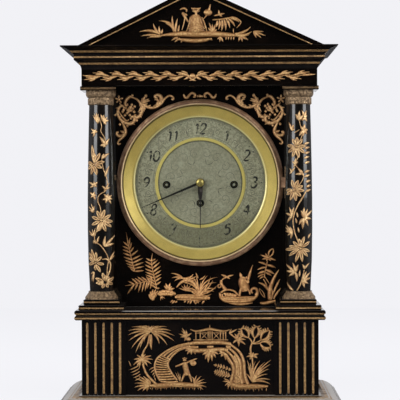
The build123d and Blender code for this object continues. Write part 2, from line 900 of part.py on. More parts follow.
with BuildPart() as hour_hand:
    with BuildSketch(hand_plane(hour_hand_y, hour_hand_angle)):
        with BuildLine():
            Polyline(
                (-hour_hand_width / 2, 0),
                (-hour_hand_width / 2, 0.2 * hour_hand_length),
                (-hour_hand_width / 3, 0.34 * hour_hand_length),
                (-hour_hand_width / 8, 0.38 * hour_hand_length),
                (-hand_point_width, hour_hand_length),
                (hand_point_width, hour_hand_length),
                (hour_hand_width / 8, 0.38 * hour_hand_length),
                (hour_hand_width / 3, 0.34 * hour_hand_length),
                (hour_hand_width / 2, 0.2 * hour_hand_length),
                (hour_hand_width / 2, 0),
                close=True,
            )
        make_face()
        Circle(1.5 * pipe_outer)
        Circle(pipe_outer + seating_clearance, mode=Mode.SUBTRACT)
    extrude(amount=hand_thickness)
save(hour_hand, "hour_hand")

boss_back = minute_hand_y - hand_thickness
with BuildPart() as hand_boss:
    with BuildSketch(Plane.XY.offset(dial_z)):
        with BuildLine():
            Polyline(
                (0, boss_back),
                (boss_radius, boss_back),
                (boss_radius, boss_back - 0.3 * boss_height),
                (0.8 * boss_radius, boss_back - 0.7 * boss_height),
                (0.45 * boss_radius, boss_back - 0.94 * boss_height),
                (0, boss_back - boss_height),
                close=True,
            )
        make_face()
    revolve(axis=dial_axis)
save(hand_boss, "hand_boss")

# Movement plates
great_module = 2 * distance(centre_place, going_place) / (great_teeth + centre_pinion_leaves)
centre_module = 2 * distance(centre_place, third_place) / (centre_teeth + third_pinion_leaves)
third_module = 2 * distance(third_place, escape_place) / (third_teeth + escape_pinion_leaves)
cannon_module = 2 * distance(centre_place, minute_wheel_place) / (cannon_leaves + minute_wheel_teeth)
hour_module = 2 * distance(centre_place, minute_wheel_place) / (minute_pinion_leaves + hour_wheel_teeth)
plate_height = plate_below_centre + plate_above_centre
pivot_places = (
    centre_place,
    third_place,
    escape_place,
    pallet_place,
    strike_hammer_place,
    quarter_hammer_place,
)


def least_gap(path, thickness, samples=200):
    """Least clear space between two stretches of one wire, measured on points along its path."""
    points = [path @ (step / samples) for step in range(samples + 1)]
    skipped = int(4 * thickness * samples / path.length) + 1
    spans = []
    for first in range(samples + 1 - skipped):
        spans.extend((points[first] - point).length for point in points[first + skipped:])
    return min(spans) - thickness


def drill_plate(y_front, y_back):
    """Cut the pivot holes and the winding-arbor holes through a movement plate."""
    for place in pivot_places:
        disc(place, arbor_radius + running_clearance, y_front, y_back, Mode.SUBTRACT)
    for place in winding_places:
        disc(place, winding_arbor_radius + running_clearance, y_front, y_back, Mode.SUBTRACT)


plate_middle_z = seat_top + plate_height / 2
with BuildPart() as front_plate:
    with BuildSketch(facing(0, plate_back, plate_middle_z)):
        Rectangle(plate_width, plate_height)
    extrude(amount=plate_thickness)
    for side in (-1, 1):
        for level in (-1, 1):
            pillar_x = side * (plate_width / 2 - pillar_inset)
            pillar_z = plate_middle_z + level * (plate_height / 2 - pillar_inset)
            disc((pillar_x, pillar_z), pillar_radius, plate_back, rear_plate_front)
    disc(minute_wheel_place, arbor_radius, hour_wheel_y - wheel_gap / 2, plate_front)
    drill_plate(plate_front, plate_back)
save(front_plate, "front_plate")

with BuildPart() as back_plate:
    with BuildSketch(facing(0, rear_plate_back, plate_middle_z)):
        Rectangle(plate_width, plate_height)
    extrude(amount=plate_thickness)
    drill_plate(rear_plate_front, rear_plate_back)
save(back_plate, "back_plate")

# Spring barrels and winding arbors
barrel_bore = winding_arbor_radius + running_clearance
great_tooth_angle = bearing(going_place, centre_place) + 180 / great_teeth
for train, place in (("going", going_place), ("strike", strike_place), ("quarter", quarter_place)):
    with BuildPart() as barrel:
        ring(place, barrel_radius, barrel_bore, barrel_y, great_wheel_y)
        toothed_wheel(
            place,
            great_teeth,
            great_module,
            great_tooth_angle,
            great_wheel_y,
            great_wheel_y + great_wheel_thickness,
            barrel_bore,
        )
    save(barrel, f"{train}_barrel")

    with BuildPart() as winding_arbor:
        arbor_front = dial_back + winding_arbor_lead
        disc(place, winding_arbor_radius, arbor_front, rear_plate_back + winding_arbor_lead)
        with BuildSketch(facing(place[0], arbor_front, place[1])):
            Rectangle(winding_square, winding_square)
        extrude(amount=winding_square_length)
    save(winding_arbor, f"{train}_winding_arbor")

# Going train
arbor_end = rear_plate_back
pinion_lead = (pinion_length - wheel_thickness) / 2
with BuildPart() as centre_arbor:
    disc(centre_place, arbor_radius, minute_hand_y + hand_thickness, arbor_end)
    disc(centre_place, hub_radius, centre_wheel_y, centre_wheel_y + pinion_length)
    toothed_wheel(
        centre_place,
        centre_teeth,
        centre_module,
        bearing(centre_place, third_place) + 180 / centre_teeth,
        centre_wheel_y,
        centre_wheel_y + wheel_thickness,
    )
    toothed_wheel(
        centre_place,
        centre_pinion_leaves,
        great_module,
        bearing(centre_place, going_place),
        great_wheel_y - (pinion_length - great_wheel_thickness) / 2,
        great_wheel_y + (pinion_length + great_wheel_thickness) / 2,
    )
save(centre_arbor, "centre_arbor")

with BuildPart() as third_wheel:
    disc(third_place, 0.6 * arbor_radius, plate_back, rear_plate_front)
    disc(third_place, arbor_radius, plate_front, plate_back)
    disc(third_place, arbor_radius, rear_plate_front, arbor_end)
    disc(third_place, hub_radius, third_wheel_y, third_wheel_y + pinion_length)
    toothed_wheel(
        third_place,
        third_teeth,
        third_module,
        bearing(third_place, escape_place) + 180 / third_teeth,
        third_wheel_y,
        third_wheel_y + wheel_thickness,
    )
    toothed_wheel(
        third_place,
        third_pinion_leaves,
        centre_module,
        bearing(third_place, centre_place),
        centre_wheel_y - pinion_lead,
        centre_wheel_y + wheel_thickness + pinion_lead,
    )
save(third_wheel, "third_wheel")

escape_pitch = 2 * pi / escape_teeth
escape_root = escape_radius - escape_tooth_depth
escape_outline = []
for tooth in range(escape_teeth):
    for radius, share in (
        (escape_root, 0.0),
        (escape_radius, 0.1),
        (escape_radius, 0.16),
        (escape_root, 0.75),
    ):
        turn = (tooth + share) * escape_pitch
        escape_outline.append((radius * cos(turn), radius * sin(turn)))
with BuildPart() as escape_wheel:
    disc(escape_place, 0.6 * arbor_radius, plate_back, rear_plate_front)
    disc(escape_place, arbor_radius, plate_front, plate_back)
    disc(escape_place, arbor_radius, rear_plate_front, arbor_end)
    hub_back = escape_wheel_y + wheel_thickness + pinion_lead
    disc(escape_place, hub_radius, escape_wheel_y - pinion_lead, hub_back)
    with BuildSketch(facing(escape_place[0], escape_wheel_y + wheel_thickness, escape_place[1])):
        with BuildLine():
            Polyline(escape_outline, close=True)
        make_face()
    extrude(amount=wheel_thickness)
    toothed_wheel(
        escape_place,
        escape_pinion_leaves,
        third_module,
        bearing(escape_place, third_place),
        third_wheel_y - pinion_lead,
        third_wheel_y + wheel_thickness + pinion_lead,
    )
save(escape_wheel, "escape_wheel")

# Anchor with its arbor and crutch, pendulum and cock
rod_middle_y = rear_plate_back + pendulum_offset
rod_front_y = rod_middle_y - pendulum_rod_thickness / 2
rod_back_y = rod_middle_y + pendulum_rod_thickness / 2
crutch_y = rear_plate_back + crutch_gap
pallet_reach = escape_radius - pallet_clearance
pallet_toe = pallet_drop + pallet_clearance
anchor_inner_span = anchor_half_span - pallet_thickness
fork_x = pendulum_rod_width / 2 + free_clearance + prong_width / 2
with BuildPart() as anchor:
    disc(pallet_place, arbor_radius, plate_front, crutch_y + wheel_thickness)
    with BuildSketch(facing(pallet_place[0], escape_wheel_y + wheel_thickness, pallet_place[1])):
        with BuildLine():
            Polyline(
                (-pallet_reach, -pallet_drop),
                (-anchor_half_span, anchor_crown / 2),
                (0, anchor_crown),
                (anchor_half_span, anchor_crown / 2),
                (pallet_reach, -pallet_drop),
                (pallet_reach - pallet_thickness, -pallet_toe),
                (anchor_inner_span, -anchor_crown / 4),
                (-anchor_inner_span, -anchor_crown / 4),
                (pallet_thickness - pallet_reach, -pallet_toe),
                close=True,
            )
        make_face()
    extrude(amount=wheel_thickness)
    with BuildSketch(facing(pallet_place[0], crutch_y + wheel_thickness, pallet_place[1])):
        Circle(hub_radius)
        with Locations((0, -crutch_length / 2)):
            Rectangle(2 * prong_width, crutch_length)
        with Locations((0, -crutch_length)):
            Rectangle(2 * fork_x + prong_width, 2 * prong_width)
    extrude(amount=wheel_thickness)
    with BuildSketch(facing(pallet_place[0], rod_back_y, pallet_place[1])):
        with Locations((-fork_x, -crutch_length), (fork_x, -crutch_length)):
            Rectangle(prong_width, 2 * prong_width)
    extrude(amount=rod_back_y - crutch_y - wheel_thickness)
save(anchor, "anchor")

bob_z = pallet_place[1] - pendulum_length
eye_radius = 2.6 * arbor_radius
rod_tail = bob_radius + rod_tail_length
with BuildPart() as pendulum_rod:
    with BuildSketch(facing(0, rod_back_y, pallet_place[1])):
        Circle(eye_radius)
        with Locations((0, -(pendulum_length + rod_tail) / 2)):
            Rectangle(pendulum_rod_width, pendulum_length + rod_tail)
        Circle(arbor_radius + running_clearance, mode=Mode.SUBTRACT)
    extrude(amount=pendulum_rod_thickness)
save(pendulum_rod, "pendulum_rod")

with BuildPart() as pendulum_bob:
    with BuildSketch(Plane.XY.offset(bob_z)):
        with BuildLine():
            Polyline(
                (0, rod_middle_y - bob_thickness / 2),
                (0.6 * bob_radius, rod_middle_y - 0.38 * bob_thickness),
                (bob_radius, rod_middle_y - bob_edge / 2),
                (bob_radius, rod_middle_y + bob_edge / 2),
                (0.6 * bob_radius, rod_middle_y + 0.38 * bob_thickness),
                (0, rod_middle_y + bob_thickness / 2),
                close=True,
            )
        make_face()
    revolve(axis=Axis((0, 0, bob_z), (0, 1, 0)))
    with Locations((0, rod_middle_y, bob_z)):
        Box(
            pendulum_rod_width + 2 * seating_clearance,
            pendulum_rod_thickness + 2 * seating_clearance,
            3 * bob_radius,
            mode=Mode.SUBTRACT,
        )
save(pendulum_bob, "pendulum_bob")

with BuildPart() as rating_nut:
    with BuildSketch(Plane.XY.offset(bob_z - bob_radius - nut_drop)):
        with Locations((0, rod_middle_y)):
            Circle(pendulum_rod_width)
            Rectangle(
                pendulum_rod_width + 2 * seating_clearance,
                pendulum_rod_thickness + 2 * seating_clearance,
                mode=Mode.SUBTRACT,
            )
    extrude(amount=nut_height)
save(rating_nut, "rating_nut")

cock_width = 2 * eye_radius
cheek_front = rod_back_y + cock_gap
cheek_back = cheek_front + cock_thickness
cock_rise = eye_radius + cock_thickness
with BuildPart() as pendulum_cock:
    with BuildSketch(facing(0, cheek_back, pallet_place[1])):
        with Locations((0, cock_rise + cock_height / 2)):
            Rectangle(cock_width, cock_height)
    extrude(amount=cheek_back - rear_plate_back)
    with BuildSketch(facing(0, cheek_back, pallet_place[1])):
        with Locations((0, (cock_rise - 2 * arbor_radius) / 2)):
            Rectangle(cock_width, cock_rise + 2 * arbor_radius)
    extrude(amount=cock_thickness)
    disc(pallet_place, arbor_radius, rod_front_y - free_clearance, cheek_front)
save(pendulum_cock, "pendulum_cock")

# Motion work behind the dial
with BuildPart() as cannon_pinion:
    cannon_bore = arbor_radius + running_clearance
    cannon_end = plate_front - free_clearance
    ring(centre_place, cannon_radius, cannon_bore, minute_hand_y - hand_thickness, cannon_end)
    toothed_wheel(
        centre_place,
        cannon_leaves,
        cannon_module,
        bearing(centre_place, minute_wheel_place),
        cannon_teeth_y,
        cannon_teeth_y + pinion_length,
        cannon_bore,
    )
save(cannon_pinion, "cannon_pinion")

minute_wheel_y = cannon_teeth_y + pinion_lead
with BuildPart() as minute_wheel:
    toothed_wheel(
        minute_wheel_place,
        minute_wheel_teeth,
        cannon_module,
        bearing(minute_wheel_place, centre_place) + 180 / minute_wheel_teeth,
        minute_wheel_y,
        minute_wheel_y + wheel_thickness,
        arbor_radius + running_clearance,
    )
    toothed_wheel(
        minute_wheel_place,
        minute_pinion_leaves,
        hour_module,
        bearing(minute_wheel_place, centre_place),
        hour_wheel_y - pinion_lead,
        minute_wheel_y,
        arbor_radius + running_clearance,
    )
save(minute_wheel, "minute_wheel")

with BuildPart() as hour_wheel:
    ring(centre_place, pipe_outer, pipe_inner, hour_hand_y - hand_thickness, hour_wheel_y)
    toothed_wheel(
        centre_place,
        hour_wheel_teeth,
        hour_module,
        bearing(centre_place, minute_wheel_place) + 180 / hour_wheel_teeth,
        hour_wheel_y,
        hour_wheel_y + wheel_thickness,
        pipe_inner,
    )
save(hour_wheel, "hour_wheel")

# Coil gongs on their post, and the hammers
gong_z = cap_top + gong_rise
gong_x = -gong_pitch / 2
quarter_pitch = gong_pitch / 2
with BuildPart() as gongs:
    for depth in (gong_front_y, gong_rear_y):
        with BuildLine(facing(gong_x, depth, gong_z)) as coil:
            for turn in range(gong_turns):
                upper = gong_inner_radius + turn * gong_pitch
                CenterArc((0, 0), upper, 0, 180)
                CenterArc((quarter_pitch, 0), upper + quarter_pitch, 180, 180)
        wire_plane = Plane(origin=(gong_x + gong_inner_radius, depth, gong_z), z_dir=(0, 0, 1))
        with BuildSketch(wire_plane) as wire:
            Rectangle(gong_wire_width, gong_wire_depth)
        sweep(sections=wire.sketch, path=coil.wires()[0])
print(f"gong coil: least gap to itself {least_gap(coil.wires()[0], gong_wire_width):.2f} mm")
save(gongs, "gongs")

post_x = gong_x + gong_inner_radius
post_y = (gong_front_y + gong_rear_y) / 2
gong_reach = gong_rear_y - gong_front_y + gong_wire_depth
with BuildPart() as gong_post:
    with BuildSketch(Plane.XY.offset(cap_top)):
        with Locations((post_x, post_y)):
            Rectangle(gong_reach + 2 * gong_foot_margin, gong_reach)
    extrude(amount=gong_foot_height)
    with BuildSketch(Plane.XY.offset(cap_top)):
        with Locations((post_x, post_y)):
            Rectangle(2 * gong_wire_width, 2 * gong_wire_depth)
    extrude(amount=gong_rise)
    with BuildSketch(Plane.XY.offset(gong_z - gong_foot_height)):
        with Locations((post_x, post_y)):
            Rectangle(2 * gong_wire_width, gong_reach)
    extrude(amount=gong_foot_height)
save(gong_post, "gong_post")

head_z = gong_z + hammer_head_radius
for train, side, place, depth in hammers:
    with BuildPart() as hammer:
        disc(place, arbor_radius, plate_front, arbor_end)
        disc(place, hub_radius, depth - hammer_stem, depth + hammer_stem)
        with BuildSketch(facing(place[0], depth + hammer_stem / 2, (place[1] + head_z) / 2)):
            Rectangle(hammer_stem, place[1] - head_z)
        extrude(amount=hammer_stem)
        with BuildSketch(Plane(origin=(place[0], depth, head_z), z_dir=(1, 0, 0))):
            Circle(hammer_head_radius)
        extrude(amount=hammer_head_length / 2, both=True)
    save(hammer, f"{train}_hammer")
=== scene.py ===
"""Looks of the pedimented mantel clock: black lacquer, gilt relief, silvered dial and aged brass."""
import json

import bpy
import numpy as np
from mathutils import Matrix, Vector


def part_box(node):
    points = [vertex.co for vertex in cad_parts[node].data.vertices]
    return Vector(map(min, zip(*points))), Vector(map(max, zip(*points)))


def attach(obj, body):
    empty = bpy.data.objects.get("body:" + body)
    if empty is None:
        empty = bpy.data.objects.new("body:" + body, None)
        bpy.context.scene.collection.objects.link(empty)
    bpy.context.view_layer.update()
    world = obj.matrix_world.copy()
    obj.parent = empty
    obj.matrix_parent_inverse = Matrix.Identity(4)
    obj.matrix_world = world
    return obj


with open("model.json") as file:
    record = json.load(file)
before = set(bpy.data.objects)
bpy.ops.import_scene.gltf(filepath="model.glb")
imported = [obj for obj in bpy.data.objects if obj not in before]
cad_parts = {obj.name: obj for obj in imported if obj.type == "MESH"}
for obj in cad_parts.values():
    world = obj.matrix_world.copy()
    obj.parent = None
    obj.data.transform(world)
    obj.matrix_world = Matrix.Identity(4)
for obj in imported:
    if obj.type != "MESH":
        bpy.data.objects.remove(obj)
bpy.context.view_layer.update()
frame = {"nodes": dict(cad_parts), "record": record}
scene = bpy.context.scene
scene.view_settings.view_transform = "Standard"

TRAINS = ("going", "strike", "quarter")
BRUSHED = (1.0, 0.2, 1.0)

# Lengths on the clock in millimetres; MM turns them into metres
MM = 0.001
PANEL_RECESS = 4.0
BLOCK_WIDTH = 55.0
ABACUS_WIDTH = 43.4
PILASTER_HALF = 26.5
SHAFT_ARC = 15.0
LINE_RISE = 0.25
INK_RISE = 0.08
STRIPE_WIDTH = 3.0
STRIPE_PITCH = 9.9
RAKING_LINE_DEPTH = 6.0
LAUREL_PITCH = 20.15
NUMBER_RING = 67.0
NUMBER_HEIGHT = 13.0
DOT_RING = 76.2
ENGRAVED_RINGS = (78.4, 59.0)

# Levels of the gold lines: over the ground for the first three, over the node's foot for the others
CORNICE_LINES = (442.6, 436.4, 428.8)
CAP_LINES = (127.4, 122.3)
FOOT_LINES = (27.2,)
BLOCK_LINES = (9.2, 2.6)
ABACUS_LINES = (2.5,)

# Soft edges in the finishes, each from where it starts to where it is full; a band has two.
# The first three are in metres, the others are distances on the dial in millimetres.
DUST_AND_SHEEN_HEIGHTS = (0.09, 0.03)
CAP_HIGHLIGHT_HEIGHTS = ((0.1304, 0.131), (0.1322, 0.1319))
CAP_HIGHLIGHT_HALF = (0.096, 0.088)
SIGHT_RING = (70.0, 74.0)
SILVERED_STEP = (81.8, 81.2)
SIGHT_LIP_HIGHLIGHT = (83.4, 82.8)
SIGHT_GAP_SHADE = (94.4, 95.2)
BEZEL_LIP_HIGHLIGHT = (97.6, 97.0)
BEZEL_GROOVE_SHADE = ((97.4, 98.0), (99.6, 99.0))
NUMBER_ZONE = (52.0, 55.0)
PLATE_RIM_SHADE = (78.0, 80.5)
RING_SHADOW = ((50.2, 52.2), (54.0, 52.6))
FOOT_SHADE_LEVELS = (-20.0, -62.0)
SQUARE_HOLE_SHADE = (1.5, 2.1)

# Studio: the wall's colour, the floor's glow for the camera, and lengths in metres
WALL = (0.885, 0.885, 0.92)
FLOOR_LIFT = 1.08
FLOOR_REACH = 1.5
FLOOR_POINTS = 33
FLOOR_DROP = 0.0005
CLOCK_MIDDLE = (0.0, 0.0, 0.27)
BOX_SIZE = (1.1, 1.15)
CAMERA_PLACE = (0.0272, -1.7721, 0.2814)


def corners(node):
    """Lowest and highest corner of a CAD node, in millimetres."""
    low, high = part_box(node)
    return np.array(low) / MM, np.array(high) / MM


ring_low, ring_high = corners("dial_ring")
dial_level = (ring_low[2] + ring_high[2]) / 2


# Shader maths
class Value:
    """A node socket that takes part in Python arithmetic; each operator adds one Math node."""

    def __init__(self, paint, socket):
        self.paint = paint
        self.socket = socket

    def math(self, operation, *others):
        """A Math node of this value and the others."""
        sockets = dict(enumerate((self, *others)))
        return self.paint.node("ShaderNodeMath", {"operation": operation}, sockets)

    def __add__(self, other):
        return self.math("ADD", other)

    __radd__ = __add__

    def __mul__(self, other):
        return self.math("MULTIPLY", other)

    __rmul__ = __mul__

    def __sub__(self, other):
        return self.math("SUBTRACT", other)

    def __rsub__(self, other):
        return (self * -1.0) + other

    def __pow__(self, other):
        return self.math("POWER", other)

    def limited(self):
        """The value held between 0 and 1."""
        return self.math("MAXIMUM", 0.0).math("MINIMUM", 1.0)


class Paint:
    """One material's node tree, with a single method that adds any node."""

    def __init__(self, name, tree=None):
        if tree is None:
            self.material = bpy.data.materials.new(name)
            self.material.use_nodes = True
            tree = self.material.node_tree
        self.tree = tree
        self.tree.nodes.clear()

    def node(self, kind, settings=None, sockets=None, output=0):
        """A node of a kind: its settings first, then the values or links of its sockets."""
        made = self.tree.nodes.new(kind)
        for key, setting in (settings or {}).items():
            setattr(made, key, setting)
        for key, given in (sockets or {}).items():
            if isinstance(given, Value):
                self.tree.links.new(given.socket, made.inputs[key])
            else:
                made.inputs[key].default_value = given
        return Value(self, made.outputs[output]) if made.outputs else None

    def places(self, stretch=(1.0, 1.0, 1.0)):
        """Object coordinates in metres, stretched along the three axes."""
        here = self.node("ShaderNodeTexCoord", output="Object")
        return self.node("ShaderNodeMapping", None, {"Vector": here, "Scale": stretch})

    def reach(self, middle=0.0, level=None):
        """Distance in millimetres, across the face, from the middle of the dial or another place."""
        across, _, up = self.here()
        across = across - middle * MM
        up = up - (dial_level if level is None else level) * MM
        return (across * across + up * up) ** 0.5 * (1.0 / MM)

    def here(self):
        """Object coordinates in metres, as three values: across, back and up."""
        return self.apart(self.node("ShaderNodeTexCoord", output="Object"))

    def apart(self, vector):
        """The three parts of a vector, as values."""
        parts = self.node("ShaderNodeSeparateXYZ", None, {0: vector}).socket.node
        return [Value(self, part) for part in parts.outputs]

    def grain(self, size, detail=4.0, stretch=(1.0, 1.0, 1.0)):
        """Noise between 0 and 1 whose blotches are about size millimetres."""
        sockets = {"Vector": self.places(stretch), "Scale": 1.0 / (size * MM), "Detail": detail,
                   "Roughness": 0.6}
        return self.node("ShaderNodeTexNoise", None, sockets)

    def step(self, value, low, high):
        """A soft step: 0 below low, 1 above high."""
        sockets = {"Value": value, "From Min": low, "From Max": high}
        return self.node("ShaderNodeMapRange", {"interpolation_type": "SMOOTHSTEP"}, sockets)

    def between(self, value, rise, fall):
        """A soft band: a step up over rise and a step down over fall."""
        return self.step(value, *rise) * self.step(value, *fall)

    def mix(self, share, first, second):
        """Colour between two colours."""
        sockets = {0: share, 6: colour(first), 7: colour(second)}
        return self.node("ShaderNodeMix", {"data_type": "RGBA"}, sockets, 2)

    def bump(self, height, distance, strength=1.0):
        """Normal of a surface raised by a height pattern; distance in millimetres."""
        sockets = {"Height": height, "Distance": distance * MM, "Strength": strength}
        return self.node("ShaderNodeBump", None, sockets)

    def skin(self, **sockets):
        """Principled surface from its socket values, joined to the output."""
        named = {key.replace("_", " "): given for key, given in sockets.items()}
        surface = self.node("ShaderNodeBsdfPrincipled", None, named)
        return self.close(surface)

    def close(self, surface):
        """Join a shader to the material's output."""
        self.node("ShaderNodeOutputMaterial", None, {"Surface": surface})
        return self.material


def colour(given):
    """A colour with its alpha, or a linked value as it is."""
    return given if isinstance(given, Value) else (*given, 1.0)


# Finishes
def lacquer_finish():
    """Black lacquer: brown in thin patches; upward faces, most at the foot, dusty with a painted pale sheen;
    and a painted highlight along the base cap's top edge.
    """
    paint = Paint("black_lacquer")
    cloud = paint.grain(60.0, 5.0)
    specks = paint.step(paint.grain(1.6, 3.0), 0.7, 0.78)
    worn = paint.step(cloud, 0.55, 0.75)
    upward = paint.apart(paint.node("ShaderNodeNewGeometry", output="Normal"))[2]
    across, _, height = paint.here()
    # Dust together with a painted pale sheen on upward faces, strongest near the foot; the sheen stands in
    # for their highlight.
    footward = 0.07 + 0.93 * paint.step(height, *DUST_AND_SHEEN_HEIGHTS)
    dust_and_sheen = paint.step(upward, 0.5, 1.0) * footward * (0.55 + 0.5 * paint.grain(4.0, 4.0)).limited()
    shade = paint.mix(worn, (0.0016, 0.001, 0.0007), (0.0055, 0.0029, 0.0016))
    shade = paint.mix(specks * 0.5, shade, (0.03, 0.018, 0.01))
    shade = paint.mix(dust_and_sheen * 0.85, shade, (0.36, 0.32, 0.28))
    # Painted highlight: a pale line along the front top edge of the base cap, broken up by the cloud.
    painted_rim = paint.between(height, *CAP_HIGHLIGHT_HEIGHTS) * paint.step(upward, 0.9, 0.5)
    painted_rim = painted_rim * paint.step(across.math("ABSOLUTE"), *CAP_HIGHLIGHT_HALF)
    shade = paint.mix(painted_rim * (0.2 + 0.5 * cloud), shade, (0.5, 0.47, 0.44))
    gloss = 0.06 + 0.1 * cloud + 0.1 * specks + 0.3 * dust_and_sheen
    waves = paint.bump(paint.grain(9.0, 2.0), 0.03, 0.4)
    return paint.skin(Base_Color=shade, Roughness=gloss, Normal=waves, Specular_IOR_Level=0.42)


def shaft_finish():
    """Lacquer of columns and cornice: the same black under a thin varnish with small waves in its gleam."""
    paint = Paint("shaft_lacquer")
    cloud = paint.grain(25.0, 5.0)
    shade = paint.mix(paint.step(cloud, 0.45, 0.75), (0.0014, 0.001, 0.0008), (0.006, 0.0032, 0.0018))
    waves = paint.bump(paint.grain(7.0, 3.0), 0.06, 0.5)
    black = paint.node("ShaderNodeBsdfPrincipled", None,
                       {"Base Color": shade, "Roughness": 0.6, "Specular IOR Level": 0.05})
    varnish = paint.node("ShaderNodeBsdfGlossy", None, {"Roughness": 0.13, "Normal": waves})
    share = 0.014 + 0.034 * cloud
    return paint.close(paint.node("ShaderNodeMixShader", None, {0: share, 1: black, 2: varnish}))


def cloudy_finish(name, grain, limits, shades, rough, metallic=0.0):
    """Plain finish: colour and roughness follow one cloud of tarnish or wear, which limits may sharpen."""
    paint = Paint(name)
    cloud = paint.grain(*grain)
    if limits:
        cloud = paint.step(cloud, *limits)
    shade = paint.mix(cloud, *shades)
    return paint.skin(Base_Color=shade, Roughness=rough[0] + rough[1] * cloud, Metallic=metallic)


def gilt_finish(name, edge, body, crest_highlight):
    """Gold paint of the raised ornament: a painted highlight along the crests, painted shade at the edges,
    rubbed in spots.
    """
    paint = Paint(name)
    crest = paint.node("ShaderNodeAttribute", {"attribute_name": "crest"}, None, "Fac")
    rubbed = paint.step(paint.grain(6.0, 5.0), 0.46, 0.66)
    flecks = paint.step(paint.grain(2.6, 4.0), 0.42, 0.58)
    # Painted shade: the edge colour darkens each stroke's edges; painted highlight: the crest colour lights
    # its middle.
    shade = paint.mix((crest * 2.0).limited(), edge, body)
    shade = paint.mix(paint.step(crest, 0.3, 0.95) * (0.35 + 0.65 * flecks), shade, crest_highlight)
    shade = paint.mix(rubbed * 0.35, shade, (0.2, 0.075, 0.02))
    rough = 0.38 + 0.15 * rubbed
    return paint.skin(Base_Color=shade, Roughness=rough, Metallic=0.4, Normal=paint.bump(flecks, 0.2, 0.7))


def line_finish():
    """Gold of the painted lines: plain dull gold with worn gaps."""
    paint = Paint("gilt_lines")
    rubbed = paint.step(paint.grain(11.0, 6.0), 0.5, 0.7)
    flecks = paint.step(paint.grain(2.4, 4.0), 0.35, 0.65)
    shade = paint.mix(flecks, (0.16, 0.09, 0.033), (0.36, 0.215, 0.085))
    shade = paint.mix(rubbed * 0.75, shade, (0.085, 0.045, 0.02))
    return paint.skin(Base_Color=shade, Roughness=0.45 + 0.2 * rubbed, Metallic=0.4)


def satin_brass_finish():
    """Satin brass of the dial's rings: pale gold with tarnish; a painted highlight round the silvered inner
    step, and painted shade at the outer edge next to the bezel.
    """
    paint = Paint("satin_brass")
    reach = paint.reach()
    cloud = paint.step(paint.grain(26.0, 4.0), 0.35, 0.7)
    fine = paint.grain(0.9, 2.0)
    wide = paint.step(reach, *SIGHT_RING)
    inside = paint.step(reach, *SILVERED_STEP) * wide
    # Painted highlight: a bright line just outside the silvered inner step.
    lip_highlight = paint.step(reach, *SIGHT_LIP_HIGHLIGHT) * (1.0 - inside) * wide
    # Painted shade: a dark line at the ring's outer edge, where it meets the bezel.
    gap_shade = paint.step(reach, *SIGHT_GAP_SHADE)
    shade = paint.mix(cloud, (0.87, 0.655, 0.2), (0.74, 0.545, 0.16))
    shade = paint.mix(paint.step(fine, 0.55, 0.8) * 0.35, shade, (0.3, 0.2, 0.07))
    shade = paint.mix(gap_shade * 0.85, shade, (0.1, 0.06, 0.02))
    shade = paint.mix(lip_highlight * 0.85, shade, (1.0, 0.88, 0.45))
    shade = paint.mix(inside * 0.9, shade, (0.3, 0.285, 0.19))
    shade = paint.mix((1.0 - wide) * 0.7, shade, (0.95, 0.8, 0.26))
    return paint.skin(Base_Color=shade, Roughness=0.36 + 0.1 * fine, Metallic=0.45)


def aged_brass_finish():
    """Worn gilt brass of the capitals and feet: dull grey-gold, brown in the hollows of its cast ornament."""
    paint = Paint("aged_brass")
    cloud = paint.step(paint.grain(7.0, 5.0), 0.4, 0.66)
    cast = paint.step(paint.grain(2.6, 3.0), 0.36, 0.62)
    shade = paint.mix(cloud, (0.235, 0.157, 0.086), (0.47, 0.325, 0.185))
    shade = paint.mix(cast * 0.6, (0.075, 0.045, 0.022), shade)
    rough = 0.62 - 0.1 * cast
    return paint.skin(Base_Color=shade, Roughness=rough, Metallic=0.55, Normal=paint.bump(cast, 0.35, 0.8))


def bronze_finish():
    """Brown bronze of the bezel: lighter rubbed patches, a painted highlight at its inner edge and a painted
    shade band further out.
    """
    paint = Paint("bezel_bronze")
    reach = paint.reach()
    cloud = paint.step(paint.grain(9.0, 5.0), 0.42, 0.66)
    # Painted highlight: a bright line at the bezel's inner edge.
    lip_highlight = paint.step(reach, *BEZEL_LIP_HIGHLIGHT)
    # Painted shade: a dark band a little further out on the bezel.
    groove_shade = paint.between(reach, *BEZEL_GROOVE_SHADE)
    shade = paint.mix(cloud, (0.23, 0.128, 0.072), (0.44, 0.28, 0.165))
    shade = paint.mix(groove_shade * 0.6, shade, (0.07, 0.035, 0.02))
    shade = paint.mix(lip_highlight * 0.7, shade, (0.7, 0.54, 0.3))
    return paint.skin(Base_Color=shade, Roughness=0.45 + 0.1 * cloud, Metallic=0.5)


